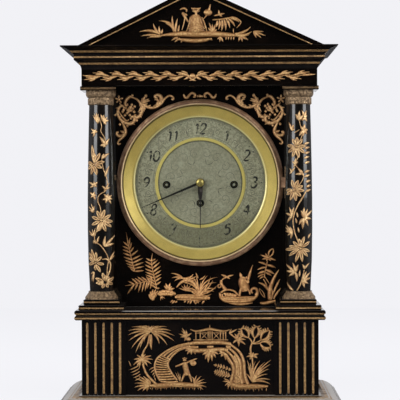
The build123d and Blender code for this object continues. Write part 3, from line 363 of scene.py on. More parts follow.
def silver_finish():
    """Silvered dial: grey-green, finely dappled, with cloudy tarnish; painted shade darkens its outer ring
    towards its foot and lies along the edges of its rings.
    """
    paint = Paint("silvered_dial")
    reach = paint.reach()
    level = paint.here()[2] * (1.0 / MM) - dial_level
    cloud = paint.step(paint.grain(16.0, 6.0), 0.35, 0.7)
    fine = paint.step(paint.grain(2.2, 5.0), 0.4, 0.64)
    outer = paint.step(reach, *NUMBER_ZONE)
    shade = paint.mix(cloud, (0.32, 0.305, 0.21), (0.45, 0.425, 0.31))
    shade = paint.mix((1.0 - outer) * 0.35, shade, (0.42, 0.4, 0.295))
    shade = paint.mix(outer * 0.6, shade, (0.58, 0.55, 0.395))
    # Painted shade: the outer ring darker towards the foot of the dial.
    shade = paint.mix(outer * paint.step(level, *FOOT_SHADE_LEVELS) * 0.75, shade, (0.19, 0.18, 0.105))
    shade = paint.mix(fine * (0.36 + 0.2 * outer), shade, (0.12, 0.115, 0.07))
    # Painted shadow: dark near the sight ring's inner edge and in a band round the dial ring.
    painted_rim = 0.6 * paint.step(reach, *PLATE_RIM_SHADE) + paint.between(reach, *RING_SHADOW)
    shade = paint.mix((painted_rim * 0.75).limited(), shade, (0.03, 0.03, 0.018))
    bumps = paint.bump(fine, 0.08, 0.6)
    return paint.skin(Base_Color=shade, Roughness=0.5, Metallic=0.3, Normal=bumps)


def winding_square_finish():
    """Winding squares: a dull grey end, with the winding hole's shadow painted black round it."""
    paint = Paint("winding_square")
    middles = [np.mean(corners(f"{train}_winding_arbor"), axis=0) for train in TRAINS]
    away = [paint.reach(middle[0], middle[2]) for middle in middles]
    near = away[0].math("MINIMUM", away[1]).math("MINIMUM", away[2])
    cloud = paint.grain(1.5, 3.0)
    shade = paint.mix(cloud, (0.21, 0.2, 0.14), (0.31, 0.295, 0.21))
    # Painted shadow: near black round each square, where the winding hole lies in shade.
    shade = paint.mix(paint.step(near, *SQUARE_HOLE_SHADE), shade, (0.006, 0.006, 0.005))
    return paint.skin(Base_Color=shade, Roughness=0.5 + 0.1 * cloud, Metallic=0.3)


def plain_wood_finish():
    """Stained pine of the hidden boards: brown with long dark grain."""
    paint = Paint("plain_wood")
    streaks = paint.grain(6.0, 5.0, (1.0, 1.0, 0.06))
    shade = paint.mix(paint.step(streaks, 0.35, 0.7), (0.09, 0.05, 0.025), (0.2, 0.12, 0.06))
    return paint.skin(Base_Color=shade, Roughness=0.6, Normal=paint.bump(streaks, 0.1, 0.4))


def glass_finish():
    """Thin clear glass: mostly let through, with a mirror that grows at grazing angles."""
    paint = Paint("clear_glass")
    smear = paint.grain(30.0, 3.0)
    gleam = paint.node("ShaderNodeBsdfGlossy", None, {"Roughness": 0.02})
    clear = paint.node("ShaderNodeBsdfTransparent", None, {"Color": (0.97, 0.985, 0.97, 1.0)})
    edge = paint.node("ShaderNodeFresnel", None, {"IOR": 1.45})
    share = (edge * (0.5 + 0.2 * smear)).limited()
    return paint.close(paint.node("ShaderNodeMixShader", None, {0: share, 1: clear, 2: gleam}))


black_lacquer = lacquer_finish()
shaft_lacquer = shaft_finish()
# Each gilt finish takes the painted shade colour of the stroke edges, the body colour, and the painted
# highlight colour of the crests.
gilt_relief = gilt_finish("gilt_relief", (0.065, 0.024, 0.006), (0.19, 0.084, 0.023), (0.52, 0.32, 0.132))
orange_gilt = gilt_finish("orange_gilt", (0.065, 0.022, 0.006), (0.24, 0.095, 0.024), (0.7, 0.4, 0.16))
scroll_gilt = gilt_finish("scroll_gilt", (0.075, 0.027, 0.009), (0.29, 0.13, 0.04), (0.9, 0.58, 0.27))
laurel_gilt = gilt_finish("laurel_gilt", (0.07, 0.026, 0.009), (0.25, 0.112, 0.034), (0.68, 0.44, 0.2))
pale_gilt = gilt_finish("pale_gilt", (0.06, 0.028, 0.01), (0.23, 0.12, 0.046), (0.62, 0.42, 0.2))
gilt_lines = line_finish()
satin_brass = satin_brass_finish()
aged_brass = aged_brass_finish()
bezel_bronze = bronze_finish()
silvered_dial = silver_finish()
winding_square = winding_square_finish()
plain_wood = plain_wood_finish()
clear_glass = glass_finish()

# Hands, boss, movement and the wax of the dial
polished_brass = cloudy_finish("polished_brass", (3.0, 3.0), (0.45, 0.75),
                               ((0.62, 0.5, 0.17), (0.36, 0.27, 0.09)), (0.34, 0.1), 0.75)
clock_brass = cloudy_finish("clock_brass", (12.0, 4.0), (0.4, 0.75),
                            ((0.62, 0.45, 0.17), (0.4, 0.27, 0.1)), (0.28, 0.12), 1.0)
bright_steel = cloudy_finish("bright_steel", (1.0, 2.0, BRUSHED), None,
                             ((0.36, 0.36, 0.37), (0.52, 0.51, 0.5)), (0.25, 0.15), 1.0)
blued_steel = cloudy_finish("blued_steel", (5.0, 3.0), None,
                            ((0.006, 0.006, 0.006), (0.022, 0.019, 0.018)), (0.4, 0.1), 0.4)
faded_steel = cloudy_finish("faded_steel", (5.0, 3.0), (0.35, 0.65),
                            ((0.022, 0.016, 0.015), (0.085, 0.066, 0.062)), (0.45, 0.1), 0.3)
black_wax = cloudy_finish("black_wax", (4.2, 4.0), (0.52, 0.62),
                          ((0.012, 0.012, 0.011), (0.26, 0.25, 0.17)), (0.5, 0.1))
faint_wax = cloudy_finish("faint_wax", (2.2, 4.0), (0.46, 0.56),
                          ((0.09, 0.082, 0.06), (0.28, 0.265, 0.19)), (0.5, 0.1))

finish_of_slot = {
    "black_lacquer": black_lacquer,
    "plain_wood": plain_wood,
    "gilt_brass": aged_brass,
    "bezel_bronze": bezel_bronze,
    "silvered_brass": silvered_dial,
    "dark_steel": blued_steel,
    "clear_glass": clear_glass,
    "clock_brass": clock_brass,
    "steel": bright_steel,
}
finish_of_node = {
    "sight_ring": satin_brass,
    "dial_ring": satin_brass,
    "winding_collets": blued_steel,
    "hand_boss": polished_brass,
    "hour_hand": faded_steel,
    **{f"{train}_winding_arbor": winding_square for train in TRAINS},
    "left_column_shaft": shaft_lacquer,
    "right_column_shaft": shaft_lacquer,
    "cornice": shaft_lacquer,
}
for part in frame["record"]["subparts"]:
    node = part["node"]
    mesh = frame["nodes"][node].data
    mesh.materials.clear()
    mesh.materials.append(finish_of_node.get(node, finish_of_slot[part["material_slot"]]))


# Raised gilt ornament, drawn as domed strokes on a ground: the arch across a stroke
ACROSS = np.array([-1.0, -0.6, 0.0, 0.6, 1.0])
DOME = np.array([-0.3, 0.72, 1.0, 0.72, -0.3])
# Widths of a stroke at even steps from root to tip, as shares of the widest
LEAF = np.array((0.35, 0.8, 1.0, 0.92, 0.7, 0.4, 0.06))
PETAL = np.array((0.3, 0.75, 1.0, 0.95, 0.25))
HALF_PETAL = np.array((0.5, 0.95, 1.0, 0.9, 0.5))
BANK = np.array((0.3, 0.9, 1.0, 0.9, 1.0, 0.9, 0.3))


def smooth(points, count=0):
    """Curve through points: cubic pieces whose slopes are those of the neighbouring points."""
    points = np.asarray(points, float)
    slopes = np.gradient(points, axis=0)
    count = count or 6 * len(points)
    place = np.linspace(0, len(points) - 1, count)
    first = np.minimum(place.astype(int), len(points) - 2)
    share = (place - first)[:, None]
    ahead = share * share * (3 - 2 * share)
    start_pull = share * (1 - share) ** 2
    end_pull = share * share * (share - 1)
    line = points[first] * (1 - ahead) + points[first + 1] * ahead
    return line + slopes[first] * start_pull + slopes[first + 1] * end_pull


def bow(root, tip, sag, count=9):
    """Bent line from root to tip: a parabola whose middle stands off to the left by sag."""
    root, tip = np.asarray(root, float), np.asarray(tip, float)
    share = np.linspace(0, 1, count)[:, None]
    reach = tip - root
    left = np.array((-reach[1], reach[0])) / max(np.hypot(*reach), 1e-6)
    return root + reach * share + left * (4 * sag * share * (1 - share))


def spiral(centre, radii, angles, count=26):
    """Part of a spiral: radius and angle both change evenly along it, angles in degrees."""
    turn = np.radians(np.linspace(*angles, count))
    radius = np.linspace(*radii, count)[:, None]
    return np.asarray(centre, float) + radius * np.stack([np.cos(turn), np.sin(turn)], 1)


class Relief:
    """Strokes that lie on one ground and become one mesh."""

    def __init__(self, ground, bold=1.0):
        self.ground = ground
        self.bold = bold
        self.strips = []

    def stroke(self, path, width, rise=0.7):
        """Domed strip: a five-point arch carried along a path, its width given at even steps."""
        path = np.asarray(path, float)
        steps = np.linspace(0, 1, np.size(width))
        wide = self.bold * np.interp(np.linspace(0, 1, len(path)), steps, np.atleast_1d(width))
        along = np.gradient(path, axis=0)
        along /= np.maximum(np.hypot(along[:, :1], along[:, 1:]), 1e-9)
        left = np.stack([-along[:, 1], along[:, 0]], 1)
        flat = path[:, None] + left[:, None] * (0.5 * wide[:, None] * ACROSS)[..., None]
        height = rise * np.minimum(1.0, 0.35 + wide / 3.0)[:, None] * DOME
        self.strips.append(np.concatenate([flat, height[..., None]], -1))

    def curve(self, points, width, rise=0.7, count=0):
        """Stroke along the smooth curve through points."""
        self.stroke(smooth(points, count), width, rise)

    def arc(self, root, tip, sag, width, rise=0.7, count=9):
        """Stroke along a bent line from root to tip."""
        self.stroke(bow(root, tip, sag, count), width, rise)

    def leaf(self, root, tip, width, sag=0.0, rise=0.7):
        """Leaf: a bent stroke that swells past its root and comes to a point."""
        self.arc(root, tip, sag, width * LEAF, rise)

    def leaves(self, root, tips, width, sag=0.0, rise=0.7):
        """Several leaves from one root; sag bends each towards the ground."""
        for tip in tips:
            side = -1.0 if tip[0] < root[0] else 1.0
            self.leaf(root, tip, width, side * sag, rise)

    def petals(self, centre, count, inner, outer, width, turn=0.0, rise=0.8):
        """Flower: equal petals round a centre, with a bead in the middle."""
        for angle in np.radians(turn + 360.0 / count * np.arange(count)):
            way = np.array((np.cos(angle), np.sin(angle)))
            path = np.asarray(centre) + way * np.linspace(inner, outer, 6)[:, None]
            self.stroke(path, width * PETAL, rise)
        self.bead(centre, 1.1 * inner, rise)

    def bloom(self, centre, tips, width, rise=0.8):
        """Open flower: one petal from near the centre to each tip, with a dark line left along its middle."""
        centre = np.asarray(centre, float)
        for tip in np.asarray(tips, float):
            reach = np.hypot(*(tip - centre))
            root = centre + (tip - centre) * min(0.5, 2.2 / reach)
            for side in (-1, 1):
                self.arc(root, tip, side * 0.3 * width, 0.46 * width * HALF_PETAL, rise)

    def bead(self, centre, radius, rise=0.9):
        """Round bead: a short stroke whose width is that of a circle."""
        share = np.linspace(-0.98, 0.98, 7)
        path = np.asarray(centre, float) + np.stack([radius * share, 0 * share], 1)
        self.stroke(path, 2 * radius * np.sqrt(1 - share * share), rise)

    def fern(self, stem, length, width, pairs, lean=55.0):
        """Fern: a thin stem with leaflets in pairs that shorten towards both ends."""
        stem = smooth(stem, 40)
        self.stroke(stem, (1.3, 1.0, 0.4), 0.6)
        places = np.linspace(3, 37, pairs).astype(int)
        for place in places:
            ahead = stem[min(place + 2, 39)] - stem[place - 2]
            heading = np.arctan2(ahead[1], ahead[0])
            reach = length * np.sin(np.pi * (0.16 + 0.72 * place / 40)) ** 0.8
            for side in (-1, 1):
                angle = heading + side * np.radians(lean)
                tip = stem[place] + reach * np.array((np.cos(angle), np.sin(angle)))
                self.leaf(stem[place], tip, width, -side * 0.1 * reach, 0.6)
        self.leaf(stem[-3], stem[-1] + (stem[-1] - stem[-8]) * 0.9, width, 0.0, 0.6)

    def frond(self, stem, left_tips, right_tips, count=9):
        """Fern leaf: a stem with one leaflet to each tip; the tips of each side run from its root upwards."""
        stem = smooth(stem, 40)
        self.stroke(stem, (1.4, 1.4, 1.2, 1.6, 0.4), 0.7)
        for tips in (left_tips, right_tips):
            for place, tip in zip(np.linspace(0, 25, count).astype(int), smooth(tips, count)):
                self.leaf(stem[place], tip, 2.6, 0.0, 0.9)

    def ground_strip(self, path, thickness, fringe, blade=2.6):
        """Bank of earth: a broad stroke with a fringe of short grass hanging from it."""
        path = smooth(path, 40)
        self.stroke(path, thickness * BANK, 0.9)
        for index in np.linspace(1, 38, fringe).astype(int):
            root = path[index] - np.array((0.0, 0.25 * thickness))
            slant = 1.2 * np.sin(1.9 * index)
            self.leaf(root, root - np.array((slant, blade + 0.8 * np.cos(1.3 * index))), 1.1)

    def mirror(self):
        """Add the mirror image, left for right, of everything drawn so far."""
        self.strips += [strip[:, ::-1] * (-1.0, 1.0, 1.0) for strip in self.strips]

    def build(self, name, finish, body="case"):
        """All strips as one mesh: arch faces, a flat back and end caps on every strip."""
        points, faces, first = [], [], 0
        # The crest attribute is 1 along a stroke's middle and 0 at its edges; the gilt finishes paint
        # highlight and shade from it.
        crest = np.tile(1.0 - np.abs(ACROSS), sum(len(strip) for strip in self.strips))
        for strip in self.strips:
            rows = len(strip)
            number = first + np.arange(rows * 5).reshape(rows, 5)
            after = np.roll(number, -1, axis=1)
            quads = np.stack([number[:-1], number[1:], after[1:], after[:-1]], -1)
            faces += quads.reshape(-1, 4).tolist()
            faces += [number[0].tolist(), number[-1, ::-1].tolist()]
            points.append(self.ground(*strip.reshape(-1, 3).T))
            first += rows * 5
        piece = place_piece(name, np.concatenate(points), faces, finish, body)
        piece.data.attributes.new("crest", "FLOAT", "POINT").data.foreach_set("value", crest)
        return piece


def place_piece(name, points, faces, finish, body):
    """New smooth-shaded piece from points in millimetres, riding on a body."""
    mesh = bpy.data.meshes.new(name)
    mesh.from_pydata((points * MM).tolist(), [], faces)
    mesh.materials.append(finish)
    mesh.shade_smooth()
    mesh.update()
    piece = bpy.data.objects.new(name, mesh)
    scene.collection.objects.link(piece)
    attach(piece, body)
    return piece


def front_ground(middle, face, level):
    """Ground of a board that faces the front: right, up and out from a point on it."""
    return lambda right, up, out: np.stack([middle + right, face - out, level + up], 1)


def open_ground(across, depth, level):
    """Ground for strips that are given in the clock's own coordinates."""
    return np.stack([across, depth, level], 1)


def front_depth(node, across, level):
    """Depth of a CAD node's front surface, found by looking along +Y at one place."""
    part = frame["nodes"][node].evaluated_get(bpy.context.evaluated_depsgraph_get())
    inward = part.matrix_world.inverted()
    start = inward @ (Vector((across, -1000.0, level)) * MM)
    _, place, _, _ = part.ray_cast(start, inward.to_3x3() @ Vector((0.0, 1.0, 0.0)))
    return (part.matrix_world @ place)[1] / MM


def band(relief, node, level, width, sides=None, run=slice(0, 4)):
    """Line round the front and sides of a moulding: an arch across the level, mitred at its corners."""
    low, high = corners(node)
    left, right = sides or (low[0], high[0])
    levels = level + 0.5 * width * ACROSS
    depth = np.array([front_depth(node, (left + right) / 2, each) for each in levels])
    out = LINE_RISE * DOME - (depth - low[1])
    rear = np.full(5, high[1] - 0.3)
    path = [(left - out, rear), (left - out, low[1] - out), (right + out, low[1] - out), (right + out, rear)]
    relief.strips.append(np.stack([np.stack([across, deep, levels], -1) for across, deep in path[run]]))


# Gilt lines of the mouldings
def moulding_lines():
    """Gold lines of the cornice, base cap, base moulding, abaci and column blocks."""
    relief = Relief(open_ground)
    for node, levels, width in (("cornice", CORNICE_LINES, 2.4), ("base_cap", CAP_LINES, 2.3),
                                ("base_moulding", FOOT_LINES, 1.5)):
        for level in levels:
            band(relief, node, level, width)
    for node, wide, rises in (("column_blocks", BLOCK_WIDTH, BLOCK_LINES),
                              ("column_abaci", ABACUS_WIDTH, ABACUS_LINES)):
        low, high = corners(node)
        for left, run in ((low[0], slice(0, 3)), (high[0] - wide, slice(1, 4))):
            for rise in rises:
                band(relief, node, low[2] + rise, 2.0, (left, left + wide), run)
    return relief.build("moulding_lines", gilt_lines)


def raking_lines():
    """Gold line along the inner edge of each sloping roof board."""
    boards = [corners("left_roof_board"), corners("right_roof_board")]
    low, high = boards[0]
    relief = Relief(front_ground(0.0, low[1], low[2]))
    ridge = np.array((high[0], high[2] - low[2]))
    for eave in (low[0], boards[1][1][0]):
        fall = np.array((eave, 0.0)) - ridge
        drop = np.array((0.0, RAKING_LINE_DEPTH * np.hypot(*fall) / abs(fall[0])))
        ends = np.linspace(0.0, 1.0 - (drop[1] + 0.8) / ridge[1], 12)[:, None]
        line = ridge - drop + fall * ends
        relief.stroke(line if eave > ridge[0] else line[::-1], 1.5, LINE_RISE)
    return relief.build("raking_lines", gilt_lines)


def pilaster_stripes():
    """Five gold stripes with round ends on each base pilaster."""
    low, high = corners("base_pilasters")
    face = front_depth("base_pilasters", low[0] + 2.0, 70.0)
    relief = Relief(front_ground(0.0, face, 0.0))
    height = np.concatenate([[30.3, 30.7, 31.4], np.linspace(33, 114, 12), [115.6, 116.3, 116.7]])
    wide = STRIPE_WIDTH * np.concatenate([[0.3, 0.7, 0.92], np.ones(12), [0.92, 0.7, 0.3]])
    for middle in (low[0] + PILASTER_HALF, high[0] - PILASTER_HALF):
        for across in middle + STRIPE_PITCH * np.arange(-2, 3):
            relief.stroke(np.stack([np.full(height.size, across), height], 1), wide, LINE_RISE)
    return relief.build("pilaster_stripes", gilt_lines)


def laurel_band():
    """Laurel of the frieze: two-lobed leaves in two staggered rows that grow away from a rosette."""
    low, _ = corners("frieze")
    relief = Relief(front_ground(-8, low[1], low[2] + 12))
    relief.bead((0, 0), 3.5, 1.4)
    for side, reach in ((-1, 133), (1, 148.5)):
        relief.stroke(np.stack([side * np.linspace(6, reach - 9, 30), np.zeros(30)], 1)[::side], 0.9, 0.5)
        for up, first in ((1, 20), (-1, 10.5)):
            for tip in np.arange(first, reach, LAUREL_PITCH):
                root = (side * max(tip - 20, 4), 0)
                relief.leaf(root, (side * tip, 4.2 * up), 3.7, 0.7 * side * up, 0.9)
                relief.leaf((side * (tip - 14), 2.8 * up),
                        (side * (tip - 6), 5.8 * up), 2.9, 0.5 * side * up, 0.9)
                relief.leaf((side * (tip - 10), 1.6 * up),
                        (side * (tip - 2.5), 1.4 * up), 2.2, 0.3 * side * up, 0.8)
        relief.leaf((side * (reach - 16), 0), (side * reach, 1.2), 3.6, 0.4, 0.9)
    return relief.build("laurel_band", laurel_gilt)


# Trunk front: foliate scrolls in the corners over the dial
def curl_leaves(relief, path, places, length):
    """Short leaves that turn off a curl, on its left or, for a negative length, on its right."""
    for place in places:
        ahead = path[place + 1] - path[place - 1]
        ahead /= np.hypot(*ahead)
        beside = np.array((-ahead[1], ahead[0])) * np.sign(length)
        relief.leaf(path[place], path[place] + abs(length) * (0.8 * beside + 0.6 * ahead), 1.8, 0.0, 0.8)


def corner_scrolls(relief):
    """One corner piece: two facing C-scrolls round a berry spray, a branch along the bezel and a tail."""
    outer_curl = smooth([(-94.6, 91.8), (-94.1, 93.6), (-96.3, 95.4), (-99.3, 94), (-101.5, 89.9),
            (-101.8, 85.2), (-99, 79.2), (-94.3, 75.2), (-88.9, 73.3), (-84.3, 73.8),
            (-81.4, 76.8), (-81.1, 80.2), (-83.5, 82), (-85.7, 80.2), (-84.7, 78.4)], 60)
    relief.stroke(outer_curl, (1.2, 2.4, 2.8, 2.6, 3.4, 3.6, 3.4, 2.6, 1.6), 0.9)
    curl_leaves(relief, outer_curl, (9, 14, 20, 38), -4.6)
    curl_leaves(relief, outer_curl, (23, 29, 35), 4)
    relief.curve([(-100, 88.3), (-97.6, 83.9), (-93.9, 79.2),
            (-90.6, 77), (-87.7, 78.2)], (0.8, 1.6, 1.8, 1.2), 1.1, 24)
    relief.curve([(-82.5, 105.4), (-86.6, 106.6), (-90.8, 103), (-92.6, 98.7), (-91.7, 95.8),
            (-89.6, 96.3), (-89.9, 98.1)], (1.4, 3.2, 3, 2.4, 1.8, 1), 0.9, 36)
    inner_curl = smooth([(-82.9, 105.5), (-77.5, 103), (-73.5, 98.3), (-71.3, 93.3),
            (-71.8, 87.9), (-74.5, 82.9), (-78.5, 80.9), (-80.7, 82.9), (-79.4, 84.7)], 48)
    relief.stroke(inner_curl, (1.2, 2.4, 3, 3.4, 3.6, 3, 1.4), 0.9)
    curl_leaves(relief, inner_curl, (20, 28), 4)
    curl_leaves(relief, inner_curl, (12, 18, 24), -4)
    relief.curve([(-76.1, 87.2), (-74.1, 90.6), (-73.1, 94.6)], (0.8, 1.8, 0.6), 1.1, 14)
    for berry in ((-84.2, 96.7), (-80.9, 94.6), (-89.6, 89.9), (-82.9, 92), (-81.4, 87.9),
            (-92.9, 83.8), (-86.8, 83.8), (-90.1, 86.4), (-95.6, 88.1), (-86.6, 93.6),
            (-87.2, 88.9), (-84.7, 89.6), (-94.6, 90.3), (-88.1, 91.6), (-91.9, 92.6)):
        relief.bead(berry, 1.5, 1)
    for bead in ((-83.5, 108.1), (-68.6, 91.8), (-78.2, 77.3), (-90.1, 70.5), (-99.1, 72.3), (-68.9, 93.6)):
        relief.bead(bead, 1.5, 1)
    relief.curve([(-91.3, 85.6), (-88.1, 88.6), (-85.6, 93.2), (-84.3, 97.3)], (1.6, 2.6, 2.6, 1.2), 0.8, 14)
    branch = smooth([(-74.1, 99.9), (-69.1, 96.3), (-64.7, 93.8), (-58.7, 92.8), (-52.6, 94.3), (-47.3, 98.5),
            (-43.6, 103.7), (-39.2, 107.1), (-35.5, 107.3), (-33, 105.2), (-33.3, 103), (-35.2, 103.4)], 60)
    relief.stroke(branch, (1.8, 3, 2.8, 2.4, 2.4, 2, 1.8, 2, 2.2, 1.2), 0.9)
    curl_leaves(relief, branch, (5, 11, 17), 5)
    relief.leaves((-71.3, 98.8), [(-71.8, 105), (-67.1, 108.1), (-62.7, 104), (-61.7, 101.7)], 3.2, 0.4)
    relief.bead((-66.7, 107.5), 1.8, 1.1)
    relief.leaf((-72.1, 100), (-65.4, 101.2), 3, -0.6)
    relief.curve([(-55.5, 95.4), (-51, 97.3), (-47.8, 101.7), (-48.5, 106.4), (-52, 108.6),
            (-55.5, 107.3), (-54.8, 105.2), (-52, 104.8)], (1.4, 3.4, 4.2, 3.6, 2.8, 2.2, 1), 0.9, 40)
    relief.curve([(-53.3, 97.3), (-51.4, 100.7), (-53.7, 103.2), (-55.7, 102.6)], (2.6, 2.4, 2, 1), 0.9, 18)
    relief.curve([(-97.8, 77.2), (-95, 72.1), (-92.8, 66.8), (-92.5, 61.4), (-95.6, 56.7), (-99.8, 52.9),
            (-101.8, 49.6), (-100.5, 47.6), (-98.3, 48.8)], (1, 2.2, 3.2, 3.4, 2.4, 1.8, 2, 1.4), 0.9, 44)
    relief.curve([(-93.5, 60.5), (-97, 58.2), (-100.9, 58.2), (-103.1, 60.5),
            (-102.5, 62.7), (-100.5, 62.3)], (2.6, 3.2, 2.8, 2.4, 1.4), 0.9, 30)
    relief.leaf((-93.6, 63.1), (-98.6, 64.8), 3, 0.8)
    relief.curve([(-20.3, 109.3), (-18.4, 105.7), (-15.7, 105.2), (-12.7, 108.7), (-9.7, 110.9),
            (-6.4, 109.3), (-5.9, 106.2), (-8.3, 105.7)], (1.4, 2.6, 2.8, 2.2, 2.2, 2.6, 2, 1), 0.9, 40)
    relief.petals((-100.3, 103.3), 5, 1.4, 5.2, 2.1, 18)
    relief.leaf((-103.7, 83.6), (-106.7, 84.2), 2)


def trunk_scrolls():
    """Corner scrolls on both sides of the dial's top, with a small knot between them."""
    low, _ = corners("trunk_front")
    relief = Relief(front_ground(0.0, low[1], dial_level), 1.55)
    corner_scrolls(relief)
    relief.mirror()
    relief.bead((0.0, 107.0), 1.5)
    relief.bead((-2.6, 106.8), 1.1)
    relief.bead((2.6, 106.8), 1.1)
    return relief.build("trunk_scrolls", scroll_gilt)


# Columns: flowering vines wound round the shafts
def shaft_ground(node):
    """Ground of a round shaft: way round from its front, height, and out from its own radius there."""
    low, high = corners(node)
    middle, depth = (low[:2] + high[:2]) / 2
    levels = np.linspace(low[2] + 0.5, high[2] - 0.5, 14)
    radii = depth - np.array([front_depth(node, middle, level) for level in levels])

    def ground(round_way, level, out):
        radius = np.interp(level, levels, radii) + out
        angle = round_way / SHAFT_ARC
        return np.stack([middle + radius * np.sin(angle), depth - radius * np.cos(angle), level], 1)

    return ground


def left_vine(relief):
    """Left shaft, from the top: shell leaf, lobed leaves, starry flowers, and a lotus at the foot."""
    relief.leaves((-2.4, 357.6), [(-9.5, 367.7), (-7.6, 370.2),
            (-4.9, 371.3), (-2, 369.4), (-0.2, 364.7)], 2.6, 0.2)
    relief.leaves((4.5, 359.2), [(0.8, 368.5), (4.9, 368.1),
            (9.5, 365.6), (11.7, 361.4), (8.1, 355.9)], 3.8, 0.3)
    relief.leaves((-5.8, 346.2), [(-12.5, 351.2), (-9, 350.2), (-4.3, 350.8),
            (-12.2, 345.8), (-8.5, 341), (-2.8, 347.9)], 2.9, 0.3)
    relief.curve([(-1.1, 364.7), (2, 354.6), (1.2, 347.9),
            (5.8, 339.4), (7.1, 329.3)], (0.8, 1, 0.8), 0.6, 20)
    relief.leaves((5.8, 331.4), [(-0.4, 341.5), (2, 337.8), (12.2, 339.3),
            (0.4, 330.2), (10.2, 333.1), (4.5, 328.3)], 3.6, 0.4)
    relief.leaf((2, 314.6), (11.7, 321.3), 4, 0.8)
    relief.leaf((2.8, 315.8), (4.5, 320.9), 2.2, 0.3)
    relief.petals((-7.1, 307.8), 5, 1.2, 2.6, 1.6)
    flower = [(-10, 331), (-6.5, 321.7), (0, 321.3), (4.9, 311.2), (2, 303.6),
            (-3.8, 295.2), (-11.1, 295.8), (-17.4, 302.4), (-17.6, 310.4)]
    relief.bloom((-7.1, 307.8), flower, 4.4)
    relief.curve([(2, 314.2), (3.7, 302.4), (7.1, 293.1),
            (8.3, 283.8), (6.2, 275.4)], (0.8, 1.1, 0.8), 0.6, 20)
    relief.leaf((5.8, 293.1), (11.1, 306.2), 3.2, 0.6)
    relief.leaves((-6.7, 282.1), [(-14.8, 286.4), (-2.4, 286.8),
            (-12.8, 279.6), (-3.7, 280.5), (-7.1, 287.2)], 3, 0.3)
    relief.leaves((6.2, 277.1), [(10.6, 285.5), (2, 282.1), (4.5, 275.4), (12.2, 280.5)], 2.4, 0.3)
    relief.leaves((-7.6, 269.8), [(-13.5, 274), (-6.2, 274.9),
            (-11.7, 267.3), (-3.7, 270.6), (-5.4, 264.7)], 3, 0.3)
    relief.leaves((8.5, 266.4), [(4.1, 271.9), (9, 272.8), (14.8, 270.6),
            (2.8, 264.7), (6.2, 261), (13.5, 259.7), (15.6, 265.6)], 3.4, 0.3)
    relief.curve([(6.2, 275.7), (-1.1, 270.6), (-2.4, 263.1),
            (0.4, 254.6), (0.8, 240.3)], (0.8, 1, 0.8), 0.6, 20)
    relief.leaves((-7.6, 249.6), [(-16.1, 257.6), (-11.1, 260.5), (-6.7, 257.2), (-14.8, 252.5)], 2.4, 0.4)
    relief.petals((1.2, 239.9), 5, 1.1, 2.4, 1.5)
    flower = [(-3.3, 251.7), (-9.5, 244.5), (-10, 234.4), (-3.3, 226), (-1.1, 227.2),
            (6.2, 226.8), (13.5, 231.9), (15.6, 238.6), (12.2, 246.6), (4.9, 252.9)]
    relief.bloom((1.2, 239.9), flower, 4.2)
    relief.leaves((-7.1, 220.9), [(-16.1, 227.7), (-10, 229.8), (-5.5, 231), (-14.8, 223.5)], 2.2, 0.3)
    relief.petals((-6.4, 214), 5, 0.8, 2.6, 1.6)
    vine = [(0.8, 236.1), (-6.2, 221.8), (-5.8, 214.2), (-0.4, 210.4),
            (5.4, 202.4), (9.5, 193.1), (8.3, 183), (7.9, 172.9), (5.8, 166.1)]
    relief.curve(vine, (0.9, 1.2, 1.2, 1), 0.7, 40)
    relief.leaf((-3.3, 212.9), (-1.1, 220.9), 2.4, 0.4)
    relief.leaves((4.9, 208.3), [(5.8, 220.9), (21, 222.2), (19.9, 211.7), (2.8, 213.3)], 3.6, 0.7)
    relief.leaves((10.6, 191.4), [(21, 202.4), (21, 197.3)], 2.8, 0.4)
    relief.petals((-5.8, 188.5), 5, 0.8, 1.8, 1.2)
    flower = [(-11.1, 204.9), (-4.9, 201.5), (1.2, 196.1), (4.1, 186.8), (0, 177.5),
            (-6.2, 179.6), (-16.5, 186.4), (-15.6, 194.8), (-15.1, 200.7)]
    relief.bloom((-5.8, 188.5), flower, 3.8)
    relief.curve([(2, 192.7), (7.1, 193.1), (12.2, 188.1), (12.5, 181.3),
            (9.5, 173.7), (6.2, 167.8)], (1, 2.4, 2.2, 1.8), 0.8, 28)
    lotus = [(-6.2, 169.9), (-5.8, 164), (2.4, 176.3), (6.2, 173.3), (11.1, 171.6),
            (21, 170.4), (18.5, 162.4), (10, 158.6), (2, 157.9), (-2.8, 162.8)]
    relief.bloom((5.8, 164.9), lotus, 4.2)
    relief.leaves((-7.6, 177.1), [(-12.2, 165.3), (-9.5, 164.5), (-13.5, 174.6)], 2.6, 0.5)


